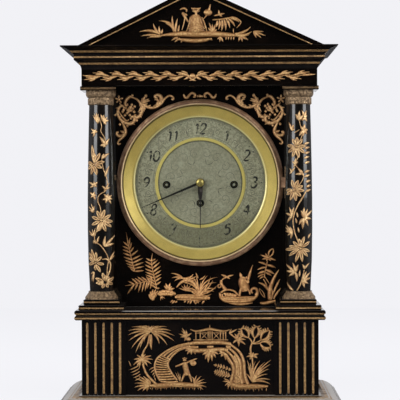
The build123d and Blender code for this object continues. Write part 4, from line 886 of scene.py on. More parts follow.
def right_vine(relief):
    """Right shaft, from the top: buds, two starry flowers on a winding stem, a daisy and a spray."""
    relief.leaves((0.1, 360.3), [(-4.6, 367.7), (0.6, 371.9), (5.3, 366.4)], 4.4, 0.6)
    relief.leaves((7.1, 363), [(3.6, 372.3), (9.6, 372.7), (11, 366.4), (4, 359.7), (10.2, 358.8)], 3.8, 0.4)
    relief.leaves((-9.1, 347.9), [(-14.3, 358.4), (-6.3, 355.9), (-5.5, 349.6)], 3.6, 0.5)
    relief.leaves((5.7, 348.3), [(1.5, 352.1), (7.1, 355.9), (11.8, 348.7),
            (9.9, 343.7), (4.9, 341.1), (-0.1, 341.3)], 4.2, 0.3)
    relief.curve([(0.1, 360.5), (1.5, 353.8), (4.9, 347.9),
            (2.4, 339.4), (-3.3, 328.5)], (0.8, 1, 0.8), 0.6, 24)
    relief.curve([(-5.9, 345.2), (-2.9, 347), (0.3, 348.9)], (0.8, 1.2, 0.6), 0.6, 8)
    relief.petals((-3.3, 328.5), 5, 1.1, 2.6, 1.6)
    flower = [(-8.2, 337.8), (-2.5, 339.9), (3.6, 337.3), (8, 329.3), (6.2, 320.9),
            (-0.5, 315), (-8.2, 315.8), (-14.3, 321.7), (-16.6, 330.2)]
    relief.bloom((-3.3, 328.5), flower, 4.2)
    for tip in ((14, 333.5), (14.7, 328.1), (14.7, 322.2), (13.7, 316.7), (14.3, 310.4)):
        relief.leaf(np.array(tip) - (8, 2.2), tip, 3.2, 0.4)
    relief.leaves((-4.6, 306.6), [(-3.8, 315), (-8.6, 310.8), (-6.3, 303.6), (-1.5, 310.8)], 2.6, 0.4)
    relief.curve([(-0.9, 317.5), (-4.2, 306.6), (1.5, 299.8), (4.9, 293.1),
            (1.5, 284.7), (-5.5, 276.2)], (0.8, 1.1, 0.8), 0.6, 28)
    relief.leaves((-8.6, 297.7), [(-11.8, 302.4), (-4.6, 303.6), (-11.8, 295.6)], 2.6, 0.4)
    relief.leaves((2.4, 295.2), [(-4.6, 294.8), (-1.5, 302.4), (5.3, 293.5), (1.5, 300.7)], 3, 0.5)
    for tip in ((14, 299.8), (14, 294.4), (15.5, 288), (15.8, 282.1), (15.5, 276.7)):
        relief.leaf(np.array(tip) - (8, 2.6), tip, 3.2, 0.4)
    relief.petals((-5.7, 276.2), 5, 1.1, 2.6, 1.6)
    flower = [(-8.6, 288.5), (-1.5, 288), (3.6, 281.3), (5.3, 275.4), (1.5, 268.5),
            (-3.8, 263.1), (-10.7, 263.9), (-16.6, 270.6), (-17.2, 275.7)]
    relief.bloom((-5.7, 276.2), flower, 4.2)
    relief.curve([(8, 274.9), (3.2, 266.4), (-1.5, 258), (-5.5, 247.9), (-7.2, 237.8),
            (-4.9, 223.5), (0.7, 208.3)], (1.6, 1.6, 1.2, 1.2, 1.2), 0.7, 36)
    relief.leaves((-8.2, 244.5), [(-12.3, 255.5), (-5.9, 255.5), (-18.8, 247.9), (-15.8, 236.1)], 3.4, 0.5)
    relief.leaves((5.3, 242), [(1.5, 251.3), (5.3, 255.1), (9.9, 253.4), (18.3, 252.1),
            (16.3, 240.7), (10.5, 232.7), (-0.5, 234.4), (3.6, 228.9)], 3.8, 0.5)
    for leaflet in ((-2.5, 246.6), (-3.8, 239.5), (-1.3, 228.5)):
        relief.leaf(np.array(leaflet) + (0.6, -3.4), np.array(leaflet) + (-0.4, 3), 1.9)
    relief.leaves((-7.7, 224.3), [(-21, 231), (-17.6, 233.6), (-21, 226),
            (-15, 220.9), (-10.1, 216.7), (-11.8, 231.9)], 2.8, 0.5)
    relief.leaf((10.5, 217.6), (14.7, 223.9), 2.6, 0.3)
    relief.petals((0.9, 205.6), 5, 1.1, 2.6, 1.6)
    daisy = [(5.3, 219.7), (12.7, 213.8), (13.3, 201.5), (9.9, 195.6), (3.2, 189.3), (-4.6, 189.3),
            (-13, 196.5), (-21, 203.6), (-12.3, 208.3), (-7.2, 213.8), (-0.5, 217.1)]
    relief.bloom((0.9, 205.6), daisy, 3.8)
    relief.leaves((-4.6, 176.3), [(-21, 186.4), (-8.2, 188.1), (-1.5, 186),
            (-20.3, 177.5), (-15, 171.2), (-3.3, 165.3)], 3.6, 0.5)
    relief.leaf((-0.1, 171.6), (0.7, 179.6), 2.2, 0.3)
    relief.curve([(-3.3, 154.4), (0.7, 161.1), (3.6, 170.4), (5.7, 179.6)], (1.6, 1.2, 1), 0.7, 20)
    relief.leaves((5.7, 180.5), [(3.2, 186.4), (13.3, 188.1)], 2.6, 0.4)
    relief.leaves((3.2, 165.3), [(16.3, 177.1), (17.2, 169.5),
            (12.7, 162.4), (6.2, 157.7), (8.9, 177.9)], 3.6, 0.6)
    relief.leaf((-8.2, 154.4), (-21, 164.5), 3.4, 0.6)


def column_vines():
    """Vines of both shafts; each is drawn on the front and again on the back of its shaft."""
    for side, vine in (("left", left_vine), ("right", right_vine)):
        relief = Relief(shaft_ground(f"{side}_column_shaft"), 1.35)
        vine(relief)
        relief.strips += [strip + (np.pi * SHAFT_ARC, 0.0, 0.0) for strip in relief.strips]
        relief.build(f"{side}_column_vine", pale_gilt)


# Dial: numbers, minute dots and engraving
DIGITS = {
    "0": [[(0, 1), (-0.24, 0.78), (-0.24, 0.22), (0, 0), (0.24, 0.22), (0.24, 0.78), (0, 1)]],
    "1": [[(-0.15, 0.8), (-0.04, 0.9), (0.04, 1.0)], [(0.04, 1.0), (0.04, 0.5), (0.02, 0.0)]],
    "2": [[(-0.24, 0.74), (-0.12, 0.97), (0.14, 0.97), (0.24, 0.72), (0.08, 0.42), (-0.25, 0.05)],
          [(-0.25, 0.04), (0.0, 0.02), (0.28, 0.08)]],
    "3": [[(-0.22, 0.8), (-0.05, 1.0), (0.18, 0.92), (0.2, 0.68), (-0.02, 0.55)],
          [(-0.02, 0.55), (0.24, 0.45), (0.26, 0.2), (0.05, 0.0), (-0.2, 0.08), (-0.24, 0.24)]],
    "4": [[(0.1, 0.98), (-0.1, 0.65), (-0.3, 0.32)], [(-0.3, 0.3), (0.0, 0.3), (0.3, 0.3)],
          [(0.12, 0.98), (0.12, 0.5), (0.12, 0.0)]],
    "5": [[(0.26, 0.97), (0.06, 0.97), (-0.14, 0.95)], [(-0.14, 0.97), (-0.17, 0.76), (-0.2, 0.56)],
          [(-0.2, 0.56), (0.05, 0.64), (0.25, 0.45), (0.2, 0.14), (-0.05, 0.0), (-0.24, 0.12)]],
    "7": [[(-0.26, 0.9), (-0.1, 0.97), (0.26, 0.96)], [(0.26, 0.96), (0.06, 0.5), (-0.06, 0.0)]],
    "8": [[(0, 0.54), (-0.2, 0.7), (-0.12, 0.95), (0.08, 1.0), (0.2, 0.84), (0.1, 0.62), (-0.14, 0.46),
           (-0.24, 0.22), (-0.1, 0.02), (0.12, 0.01), (0.24, 0.2), (0.16, 0.4), (0, 0.54)]],
    "9": [[(0.2, 0.62), (0, 0.48), (-0.2, 0.6), (-0.2, 0.88), (0, 1.0), (0.18, 0.88), (0.24, 0.58),
           (0.08, 0.22), (-0.2, 0.03)]],
}
LEAN = np.array(((1.0, 0.0), (0.16, 1.0)))


def dial_numbers(relief):
    """Leaning numbers round the dial, each digit a few swelling pen strokes; the six is worn off."""
    pen_width = NUMBER_HEIGHT * np.array((0.08, 0.19, 0.22, 0.17, 0.06))
    for hour in (*range(1, 6), *range(7, 13)):
        angle = np.radians(90.0 - 30.0 * hour)
        word = str(hour)
        for index, digit in enumerate(word):
            shift = (index - (len(word) - 1) / 2) * 0.58
            for pen in DIGITS[digit]:
                points = (np.array(pen) + (shift, -0.5)) @ LEAN * NUMBER_HEIGHT
                points += NUMBER_RING * np.array((np.cos(angle), np.sin(angle)))
                relief.curve(points, pen_width, INK_RISE, 8 * len(pen))


def dial_engraving(relief):
    """Faint scrollwork: pairs of small spirals between the numbers and leafy curls inside the ring."""
    for step in range(12):
        angle = 75 - 30 * step
        heading = np.radians(angle)
        outward = np.array((np.cos(heading), np.sin(heading)))
        across = np.array((-outward[1], outward[0]))
        for side in (-1, 1):
            turn = angle + (90 if side > 0 else -90)
            relief.stroke(spiral(66 * outward + 4.2 * side * across,
                    (0.6, 3.4), (turn, turn + side * 420)), 0.7, INK_RISE)
            relief.stroke(spiral(71.5 * outward + 3 * side * across,
                    (0.5, 2.2), (turn, turn - side * 330)), 0.6, INK_RISE)
        relief.leaf(60 * outward, 69 * outward, 1.5, 0, INK_RISE)
    for step in range(8):
        angle = 22.5 + 45 * step
        heading = np.radians(angle)
        outward = np.array((np.cos(heading), np.sin(heading)))
        for side in (-1, 1):
            across = side * np.array((-outward[1], outward[0]))
            relief.stroke(spiral(36 * outward + 7 * across, (1, 6.5),
                    (angle, angle + side * 400)), 0.6, INK_RISE)
            relief.leaf(24 * outward, 31 * outward + 5 * across, 1.3, 1.2 * side, INK_RISE)


def dial_marks():
    """Numbers and minute dots in black wax, and the fainter engraving, all on the silvered plate."""
    face = front_depth("dial_plate", 0.0, dial_level + NUMBER_RING)
    ground = front_ground(0.0, face, dial_level)
    engraving = Relief(ground)
    dial_engraving(engraving)
    for reach in ENGRAVED_RINGS:
        engraving.stroke(spiral((0.0, 0.0), (reach, reach), (0.0, 360.0), 145), 0.5, INK_RISE)
    engraving.build("dial_engraving", faint_wax)
    wax = Relief(ground)
    dial_numbers(wax)
    for top, foot in ((-65.5, -72.5), (-74.0, -75.4), (-79.0, -80.0)):
        wax.arc((-1.3, top), (-1.3, foot), 0.0, 1.3, INK_RISE, 5)
    for minute in range(60):
        angle = np.radians(6.0 * minute)
        dot = 0.55 if minute % 5 else 0.95
        wax.bead(DOT_RING * np.array((np.sin(angle), np.cos(angle))), dot, INK_RISE)
    wax.build("dial_numbers", black_wax)


# Pediment: a seated figure with a fan between plants, on a narrow bank
def robed_figure(relief):
    """Plain seated figure: a bell-shaped robe with ribs and dots, a wide headdress and a round fan."""
    relief.curve([(-3.6, 38.2), (-3.9, 33.7), (-3.4, 27), (-3.1, 16.8)], (8, 17, 20, 22.5, 24.5), 1, 20)
    for top, foot in (((-10.3, 34.8), (-15, 18.1)), ((3.6, 34.8), (9.5, 17.2))):
        relief.arc(top, foot, 0.6, (1.6, 2, 1.6), 1.7, 10)
    for top, foot in (((-7.5, 35.4), (-10.9, 26.1)), ((-5.5, 35.9), (-7.2, 25.7)),
            ((-3.6, 35.9), (-3.6, 25.5)), ((-1.6, 35.9), (-0.1, 25.7)), ((0.6, 35.4), (3.6, 26.1))):
        relief.arc(top, foot, 0, (0.9, 1.5, 1.2), 1.8, 8)
    relief.curve([(-13.7, 23.9), (-3.6, 24.8), (7.7, 23.9)], 1.3, 1.8, 14)
    for dot in ((-11.4, 20.9), (-7.9, 22), (-4.3, 20.6), (-0.5, 22),
            (3, 20.6), (6.2, 21.7), (-6.1, 18.3), (1, 18.3), (-2.5, 19.2)):
        relief.bead(dot, 1.3, 1.8)
    relief.curve([(-3.6, 36.5), (-3.6, 40.4), (-3.6, 43.2)], (5, 3, 4), 1.4, 10)
    relief.leaves((-3.6, 41), [(-9.4, 46.9), (2.2, 46.9), (-8.5, 42.8), (1.3, 42.8)], 2.6, 0, 1.2)
    relief.stroke([(-9, 45.7), (-3.6, 44.9), (1.7, 45.7)], (1.8, 3, 1.8), 1.3)
    relief.bead((10.8, 40.6), 5, 1.4)
    relief.curve([(9.2, 37.6), (12.2, 44.3), (13.7, 50.2)], (4, 5, 2.6, 1.6), 1.2)
    relief.curve([(9.5, 37.6), (7.3, 34.8), (5.3, 33.1)], (1.8, 1.4, 1))
    relief.curve([(-22.6, 44.3), (-18.1, 45.7), (-15, 44), (-15.2, 41.3)], (1.6, 3, 2.6, 1.4), 1, 14)
    relief.curve([(-20.1, 40.4), (-18.1, 38.2), (-16.5, 34.8), (-12.6, 29.2)], (3.4, 5, 4, 2.2), 1)
    relief.curve([(-16.8, 34.8), (-18.1, 28.1), (-20.4, 19.8)], (2.2, 1.5, 1))
    relief.leaf((-17, 39.3), (-13.7, 37.1), 2.6)


def pediment_plants(relief):
    """Bank under the figure with broad leaves on its left, an arched frond and grasses on its right."""
    relief.curve([(-51.6, 12.7), (-37.1, 14.1), (-21.5, 15), (-3.6, 14.5), (16.4, 14.8),
            (34.3, 13.6), (48.7, 12.7)], (1, 3.4, 6, 7, 6.4, 5, 2.4), 1, 40)
    relief.curve([(-30.4, 9.7), (-17, 7.5), (-3.6, 6.7),
            (7.5, 7.6), (15.3, 9.4)], (1, 4, 4.6, 4, 1.4), 0.9, 24)
    relief.curve([(-30.4, 13.1), (-14.8, 14.2), (0.8, 13.1), (18.7, 13.9)], (0.6, 1.2, 1.2, 0.6), 1.4, 20)
    for root, tip, wide, sag in (((-28.2, 16.4), (-48, 30.9), 4, -4.5),
            ((-27.6, 15.6), (-40.6, 27.6), 3.2, -2.5), ((-30.4, 17), (-32.2, 37.1), 2.8, 0.5),
            ((-28.2, 17), (-25.7, 33.7), 2.6, 0.8), ((-25, 17), (-23.5, 26.1), 2.2, 0.3),
            ((-47.1, 14.5), (-72.2, 17.5), 3.6, -3), ((-47.7, 15), (-55.1, 28.1), 3, 1.2),
            ((-46.6, 15), (-48, 24.8), 2.6, 0.6), ((-44.9, 14.8), (-43.5, 21.4), 2.2, 0.3),
            ((-47.1, 12.7), (-70, 12.5), 2.8, -1.4), ((-46.6, 12.3), (-62.9, 10.1), 2.4, -0.8),
            ((-45.4, 11.9), (-55.8, 10.5), 2, -0.4), ((-25.4, 11.4), (-33.5, 7.2), 2.8, 0),
            ((-23.1, 10.1), (-29.5, 5.3), 2.8, 0), ((-19.2, 9.2), (-21.9, 4.5), 2.6, 0),
            ((9.7, 9.4), (16.6, 7.4), 2.4, 0), ((43.2, 15), (62.1, 23.5), 3.2, -2.5),
            ((44.3, 13.9), (63, 17.5), 3.8, -2.5), ((44.3, 12.5), (60.5, 13.9), 3.2, -1),
            ((49.9, 12.5), (47.4, 5.8), 2.8, 0), ((50.4, 12), (51.9, 5.3), 2.6, 0),
            ((51, 12), (56, 8.1), 2.4, 0), ((51.5, 12.5), (59.3, 7.2), 2.2, 0)):
        relief.leaf(root, tip, wide, sag, 0.9)
    relief.leaves((65.5, 17.5), [(80.5, 12.3), (74.9, 9.7), (69, 9.6), (77.7, 17.5)], 2.4)
    relief.leaves((25.9, 11.4), [(21.8, 8.3), (24.8, 4.9), (28.9, 5.2)], 2.4)
    for tooth in ((32.6, 11.4), (35.6, 11.4), (38.7, 11.2), (41.8, 11.2)):
        relief.leaf(tooth, (tooth[0] - 0.4, tooth[1] - 4.2), 1.7)
    relief.curve([(16.4, 31.7), (26.5, 32.4), (35.4, 33.7), (42.1, 34.3),
            (50.4, 29.2), (45.2, 21.7)], (1.4, 1.8, 2, 2.4, 1.2, 0.7), 0.9, 30)
    for root, tip in (((22, 30.9), (20.3, 22.6)), ((24.8, 31.3), (23.3, 19.8)),
            ((27.6, 31.7), (27, 18.1)), ((30, 32.4), (32, 18.7)), ((32.6, 32.8), (37, 21.7)),
            ((35.4, 33.1), (43.2, 23.7)), ((38.2, 33.5), (48.7, 28.7))):
        relief.leaf(root, tip, 2.9, 0.8, 0.9)
    relief.leaves((24.4, 38.2), [(23.8, 43.5), (31.1, 39.5), (18, 36.4), (28, 35.3)], 2.4)
    relief.leaves((16.4, 16.4), [(12.2, 28.1), (15.9, 26.8), (20, 27.2), (10.6, 22.3), (21.8, 20.6)], 2.6)
    relief.stroke([(41.4, 21.2), (41.2, 18.1), (41.8, 15.3)], 0.9, 0.6)


def pediment_relief():
    """Group of the pediment, in millimetres from the middle of the cornice's top."""
    low, _ = corners("tympanum")
    relief = Relief(front_ground(0.0, low[1], low[2]), 1.35)
    pediment_plants(relief)
    relief.bold = 1.0
    robed_figure(relief)
    return relief.build("pediment_relief", gilt_relief)


# Trunk front under the dial: ferns and a bank on the left, a boat and flowers on the right
def fern_corner(relief):
    """Three ferns that grow from one place, a ribbed shell and a stony bank."""
    relief.frond(
            [(-81.2, -109.8), (-84.4, -98.4), (-87.6, -84.2), (-89.7, -74.2), (-91.8, -61.4)],
            [(-87.1, -106.1), (-91.1, -102), (-93.3, -97.1), (-95.2, -91.7), (-96.2, -85.3), (-96.2, -79.9),
             (-95.7, -72.8)],
            [(-69.8, -108.7), (-69.8, -103.4), (-70.7, -98.4), (-71, -93.1), (-74.3, -89.9), (-77.2, -83.6),
             (-82.2, -79.2), (-84.9, -73.5), (-87.1, -67.8)])
    relief.frond(
            [(-54.1, -131.1), (-56.6, -119.8), (-58.8, -109.8), (-60.5, -98.4), (-60.2, -93.4),
             (-59.3, -87.4)],
            [(-63.7, -124), (-66.7, -118), (-68.4, -113), (-68.6, -107.3), (-68.7, -99.5), (-67.3, -93.6)],
            [(-50.6, -130.4), (-48.8, -121.2), (-48.4, -115.9), (-48.5, -111.2), (-48.7, -105.2),
             (-49.6, -99.5), (-52.2, -95.6), (-55.6, -94.2)])
    relief.frond(
            [(-60.2, -121.2), (-67.3, -122.3), (-77.2, -124.7), (-85.8, -126.5), (-93.6, -127.6)],
            [(-62.3, -131.9), (-65.9, -131.5), (-68.7, -134.3), (-72.8, -135.8), (-77.2, -136.1),
             (-81.9, -133.3), (-91.1, -138.3)],
            [(-61.6, -115.5), (-67.3, -115.9), (-73.3, -116.2), (-78.3, -116.2), (-81.2, -118),
             (-85.4, -118.2), (-89.7, -121.8)], 7)
    for tip in ((-63.7, -138.3), (-62, -134.7), (-58.8, -132.2), (-55.2, -132), (-52.5, -134)):
        relief.arc((-57.3, -145.4), tip, 1.6, (1, 2, 2.2, 1.2), 1, 8)
    relief.arc((-59.8, -146.1), (-64.1, -138.6), -1.4, (0.8, 2, 1.2), 0.8, 8)
    relief.bead((-58.7, -138.8), 4.6, 0.8)
    relief.curve([(-52.6, -137.6), (-44, -136.8), (-32.4, -138)], (3, 6.4, 6, 3.6), 0.8, 16)
    for stone in ((-49.5, -135.8), (-46.3, -134.7), (-42.7, -134.6), (-39.2, -135.1), (-35.6, -135.8),
            (-48.8, -138.8), (-44.9, -138.3), (-40.6, -138.1), (-36.3, -138.6), (-51.3, -137.5),
            (-32.8, -137.5)):
        relief.bead(stone, 2.3, 1)
    relief.leaves((-39.9, -132.6), [(-45.2, -127.6), (-43.2, -124.4),
            (-37.3, -124), (-35.6, -128.3), (-31.7, -130.6), (-34.6, -133.3)], 3.6)
    relief.leaves((-48.8, -140.4), [(-49.5, -146.1), (-46.7, -144.7), (-43.8, -143.6)], 1.6)


def middle_bank(relief):
    """Grassy bank in the middle with a fountain of arched blades, a feathery arch and a small palm."""
    relief.curve([(-31.6, -141.6), (-18, -142.2), (0, -142.6), (11.6, -142.8)], (3, 6.6, 7, 6.4, 3), 0.8, 24)
    for first, last in (((-30, -139.4), (9.6, -141)),
            ((-32, -142.4), (11.2, -144)), ((-29, -145), (0, -146.8))):
        relief.arc(first, last, 0.8, (0.8, 2, 1.8, 2.2, 1), 1.3, 16)
    for root, tip in (((-33.9, -145.4), (-37.4, -148.6)), ((-31.7, -146.1), (-35.6, -150)),
            ((-28.9, -146.8), (-31.7, -148.9)), ((-18.2, -146.1), (-20.3, -148.6)),
            ((-13.9, -146.1), (-16.4, -149.8)), ((-11.1, -146.1), (-13.2, -150.5)),
            ((-8.3, -146.1), (-6.1, -150.3)), ((-6.1, -145.7), (-1.7, -149.3)),
            ((-2.1, -146), (-6.6, -150.5)), ((4.7, -146), (1.7, -150.5))):
        relief.leaf(root, tip, 2.4)
    root = (-1.3, -139.2)
    for tip, bend in (((8.8, -114.8), -2.5), ((21.1, -117.1), -6),
            ((19.9, -123.8), -5), ((19.1, -131.7), -4), ((16.9, -134.6), -2.5)):
        for side in (-1, 1):
            reach = np.array((side * (tip[0] - root[0]), tip[1] - root[1]))
            relief.leaf(root, np.array(root) + reach, 2.2, -side * bend, 0.9)
    relief.leaves(root, [(-5.4, -111.8), (-3.6, -122.7), (0.2, -122.7), (3.2, -128), (-7.3, -128)], 1.9)
    relief.leaves(root, [(10.7, -143.4), (7.7, -145.6), (-9.6, -144.1)], 3.6)
    relief.curve([(-29.6, -129.7), (-24.6, -124.2), (-19, -121.4), (-12, -122),
            (-7, -126.5), (-4, -133.3)], (1.4, 3.4, 4.2, 4, 3), 0.9, 24)
    relief.leaves(root, [(15.6, -120.4), (20.6, -127.6), (14, -137.6),
            (12.6, -116.4), (-13.6, -131)], 2.2, -2, 0.9)
    relief.leaves((-17.5, -134), [(-27.5, -130.1), (-23.9, -127.2), (-20.3, -125.5),
            (-15.9, -125.5), (-11.8, -126.5), (-8.6, -129.7)], 1.7)
    palm = (-21.4, -118.7)
    relief.leaves(palm, [(-36.6, -112.1), (-35.6, -118), (-32.1, -122)], 2.6, 1.6)
    relief.leaves(palm, [(-9, -113.4), (-5.4, -115.9), (-4.7, -119.4)], 3.4, -2.2)
    relief.curve([palm, (-19.3, -121.9), (-16.1, -124.7)], (1.2, 1.6, 1.8))
    relief.leaf((-2.9, -118.3), (-5.8, -111.2), 1.6)
    relief.leaf((-1.1, -120.1), (5.8, -114.8), 2, -1)


def boat(relief):
    """Small boat with a raised prow, a cabin and a curled stern; a plain figure in it holds a paddle."""
    relief.curve([(23.8, -136.2), (25.3, -142.2), (31, -146.4), (41.5, -147.6), (53.5, -147.3),
            (63.2, -145.6), (69.3, -140.7), (71.1, -135.5)], (2, 3.6, 4, 4.2, 4.2, 4, 3.4, 2.6), 1, 40)
    relief.arc((25.7, -143.4), (68.6, -142.6), -1.6, (3, 6.6, 7.2, 6.6, 3), 0.8, 16)
    relief.arc((25.7, -141.4), (67, -141.6), -0.8, (1.6, 2.6, 2.4, 2.6, 1.6), 1.4, 16)
    relief.arc((28.6, -137.2), (45, -139.4), -1.2, (2, 5, 4.6, 2), 0.7, 10)
    relief.arc((35.5, -149.4), (64.7, -149), -1.4, (0.8, 2.6, 3, 2.4, 0.8), 0.6, 14)
    relief.curve([(25.3, -136.2), (29.5, -133.6), (35.5, -132.8), (41.5, -134.4),
            (45.2, -137.7), (48.6, -140.7)], (2.6, 2.4, 2.2, 2.4, 1.8), 1.1, 24)
    for post in ((26.8, -137.7), (30.6, -136.8), (33.6, -136.7),
            (36.6, -136.8), (39.6, -137.6), (42.6, -138.9)):
        relief.arc(post, (post[0] + 0.6, post[1] - 4.2), 0, 1.7, 1, 5)
    relief.curve([(31, -133.2), (29.1, -130.2), (26.8, -127.2),
            (25.7, -124.2), (25.9, -120.8)], (5.4, 4, 3, 3.6, 3), 1.1)
    relief.stroke(spiral((23.6, -128.3), (2.2, 1.6), (60, 400), 16), 1.5, 1.1)
    relief.leaf((26.5, -120.5), (30.2, -117.8), 1.6)
    relief.stroke(spiral((66.1, -134.7), (5, 2.6), (-70, 240), 22), (3, 3.2, 3, 2), 1.1)
    relief.curve([(53.5, -116.7), (52.4, -122.7), (54.6, -129.5), (55.7, -134.7)], (7, 10.2, 11.4, 9.6), 1.2)
    relief.curve([(50.9, -130.2), (49, -136.2), (48.6, -140.4)], (3, 3, 2.4), 1)
    relief.curve([(58, -131), (60.6, -134.7), (61.4, -138.5)], (2.6, 2.6, 2), 1)
    relief.leaf((51.1, -118.2), (48.8, -111.3), 3.8)
    relief.leaf((56.9, -119), (57.4, -116), 2.2)
    relief.curve([(55.7, -120.5), (58.7, -124.2), (60.2, -122)], (2.4, 2.2, 1.6), 1.2)
    relief.arc((58.4, -125), (64.9, -102.1), 0.6, (1, 2.8, 3.6, 2.6, 1.4, 0.6), 1.1, 14)
    relief.leaves((32.8, -116.7), [(25.6, -113.9), (41.1, -114.1), (27.6, -119.6), (36.6, -119.3)], 2.6)


def flowers_right(relief):
    """Flower with paired leaves on a thin stem, and long blades that grow from a small bank."""
    for side in (-1, 1):
        relief.arc((85.2, -91.9), (89.9, -81.8), side * 2.6, (1.2, 2, 1.9, 1), 1, 12)
    relief.leaves((83.9, -93.1), [(74.9, -89.8), (76.4, -95.1),
            (80.5, -87.8), (81.6, -97.2), (87.3, -97.2), (93.6, -96.3)], 3)
    relief.bead((83.9, -93.1), 2, 1.1)
    relief.curve([(83.1, -97.2), (81.1, -105.4), (79.8, -112.2), (79, -118.2)], (1.4, 1.8, 1.6, 1.2))
    for root, tip, wide in (((81.6, -101.7), (71.5, -98.5), 2.6), ((82.8, -102.1), (93.6, -105.8), 3.2),
            ((80.9, -104.7), (70.6, -108.1), 2.8), ((80.9, -108.1), (91.9, -113.6), 3.8),
            ((79.8, -110), (70.6, -113.6), 3.2), ((80.9, -111.8), (88.4, -115.8), 2.8),
            ((79, -113.3), (70.6, -117.6), 2.4), ((78.3, -116.3), (73.2, -119.7), 2)):
        relief.leaf(root, tip, wide, 0.5 if tip[0] > root[0] else -0.5, 0.9)
    relief.arc((79.8, -116.7), (85.4, -125.3), 0, 1, 0.7, 8)
    relief.arc((77.9, -119.7), (82, -127.6), 0.4, (1, 1.6), 0.7, 8)
    relief.curve([(86.1, -144.9), (85.9, -134), (88.8, -124.2),
            (92.9, -115.2), (97.2, -108.1)], (5, 5.2, 4.4, 3, 0.4), 1.1)
    relief.curve([(89.1, -140), (92.5, -131.7), (95.7, -125), (98.2, -119.7)], (1.6, 2.6, 2.6, 0.5), 0.9)
    relief.curve([(90.6, -144.1), (94, -138.1), (97, -134), (99.4, -130.6)], (2, 2.8, 2.2, 0.5), 0.9)
    relief.curve([(84.6, -133.6), (80.9, -128.7), (76.8, -125.7), (71.9, -123.8)], (3, 3.6, 2.6, 0.6), 0.9)
    for side in (-1, 1):
        relief.arc((86.9, -145.6), (87.6, -131), side * 2.2, (2, 2.6, 1.2), 1.1, 10)
        relief.arc((72.9, -131.3), (79.8, -142.6), side * 1.5, (0.5, 0.9, 1.1), 0.5, 10)
    relief.curve([(74.1, -149), (79, -149.7), (85.8, -148.2), (92.9, -146.4)], (2.4, 4, 4.4, 3.2), 1)


def lower_trunk_relief():
    """Garden under the dial, in millimetres from the middle of the dial."""
    low, _ = corners("trunk_front")
    relief = Relief(front_ground(0.0, low[1], dial_level), 1.25)
    fern_corner(relief)
    middle_bank(relief)
    boat(relief)
    flowers_right(relief)
    return relief.build("lower_trunk_relief", orange_gilt)


# Base panel: palms, arched bridge with a pavilion, plants
def base_panel_relief():
    """Bridge scene of the base, in millimetres from the middle of the sunk panel."""
    low, high = corners("base_front")
    pad = corners("base_pilasters")[0][1]
    panel_face = pad + PANEL_RECESS
    relief = Relief(front_ground(0.0, panel_face, (low[2] + high[2]) / 2))
    palm_left(relief)
    bridge(relief)
    pavilion(relief)
    porter(relief)
    plants_right(relief)
    return relief.build("base_panel_relief", gilt_relief)


def palm_left(relief):
    """Tall palm with a second crown on its stem, ferns beside it and the left bank with its tufts."""
    crest_highlight, second = (-59.8, 36.6), (-70.6, 2.6)
    relief.leaves(crest_highlight, [(-82.9, 42), (-86.5, 37.4), (-87.6, 32), (-86.5, 25), (-83.3, 15.8),
            (-78.3, 10.3), (-72.9, 15), (-67.5, 23.5), (-69, 43.6), (-76, 42.8)], 3.4, 2.4, 0.9)
    relief.leaves(crest_highlight, [(-49.4, 21.2), (-39.7, 20.1), (-31.2, 25), (-30.9, 31.2),
            (-35, 37.4), (-40.5, 42.3), (-48.2, 42.8), (-55.1, 43.6)], 3.4, 2.4, 0.9)
    relief.leaf((-59.3, 33), (-58.7, 14.5), 5.6, -0.8, 1.1)
    relief.leaf(crest_highlight, (-62.1, 43.9), 2.6)
    relief.curve([(-61, 33), (-63.5, 21), (-67.5, 14), (-70, 7)], (2.6, 2.2, 3.4))
    relief.leaves(second, [(-76.8, 8), (-80.3, 2.6), (-80.9, -4.3),
            (-76.8, -7.4), (-71.4, 8.8), (-73.7, -8.2)], 3.6, 0.8)
    relief.leaves(second, [(-66, 8.8), (-59, 7.2), (-57.1, 2.6),
            (-59, -2.8), (-63.6, -5.9), (-68.3, -7.4)], 3.6, 0.8)
    for drop in 3.5 * np.arange(5):
        relief.leaf((-74.5 + 0.2 * drop, -4.6 - drop), (-86.4 + 0.5 * drop, -10.2 - 0.9 * drop), 1.9, 0.6)
        relief.leaf((-54.8, -6.6 - 0.9 * drop), (-61.8 + 0.6 * drop, -10.4 - 0.9 * drop), 1.8, -0.4)
    relief.leaf((-83.7, -5.8), (-86.5, 1.1), 1.5)
    relief.curve([(-69.5, -3), (-66, -13), (-60.5, -20.5), (-53, -27.5)], (2.8, 3.2, 3.6, 4))
    relief.leaves((-61, -29), [(-79.1, -26), (-79.9, -31.4), (-76, -35.4), (-69.8, -36.2),
            (-78.3, -20.6), (-74.5, -17.5), (-69, -17.5), (-63.8, -20.5), (-64.4, -36)], 3.6, 1.2, 0.9)
    relief.ground_strip([(-64, -29), (-48, -29.2), (-30, -27.6), (-14, -28.6), (2, -29.4)], 8, 20, 3.4)
    relief.curve([(-58, -30.4), (-42, -29), (-26, -29.8), (-8, -29)], (1, 2.6, 2.2, 2.6, 1), 1.5, 24)
    relief.leaves((-7, -28.5), [(-9.6, -18.2), (-4.2, -16.7), (1.3, -17.5),
            (5.1, -21.3), (7.4, -25.4), (7.6, -30.8), (3.6, -34)], 2.9, 0.9, 1)
    relief.leaves((-24.2, -24), [(-30, -13.5), (-27.4, -12), (-24.6, -14)], 1.5)


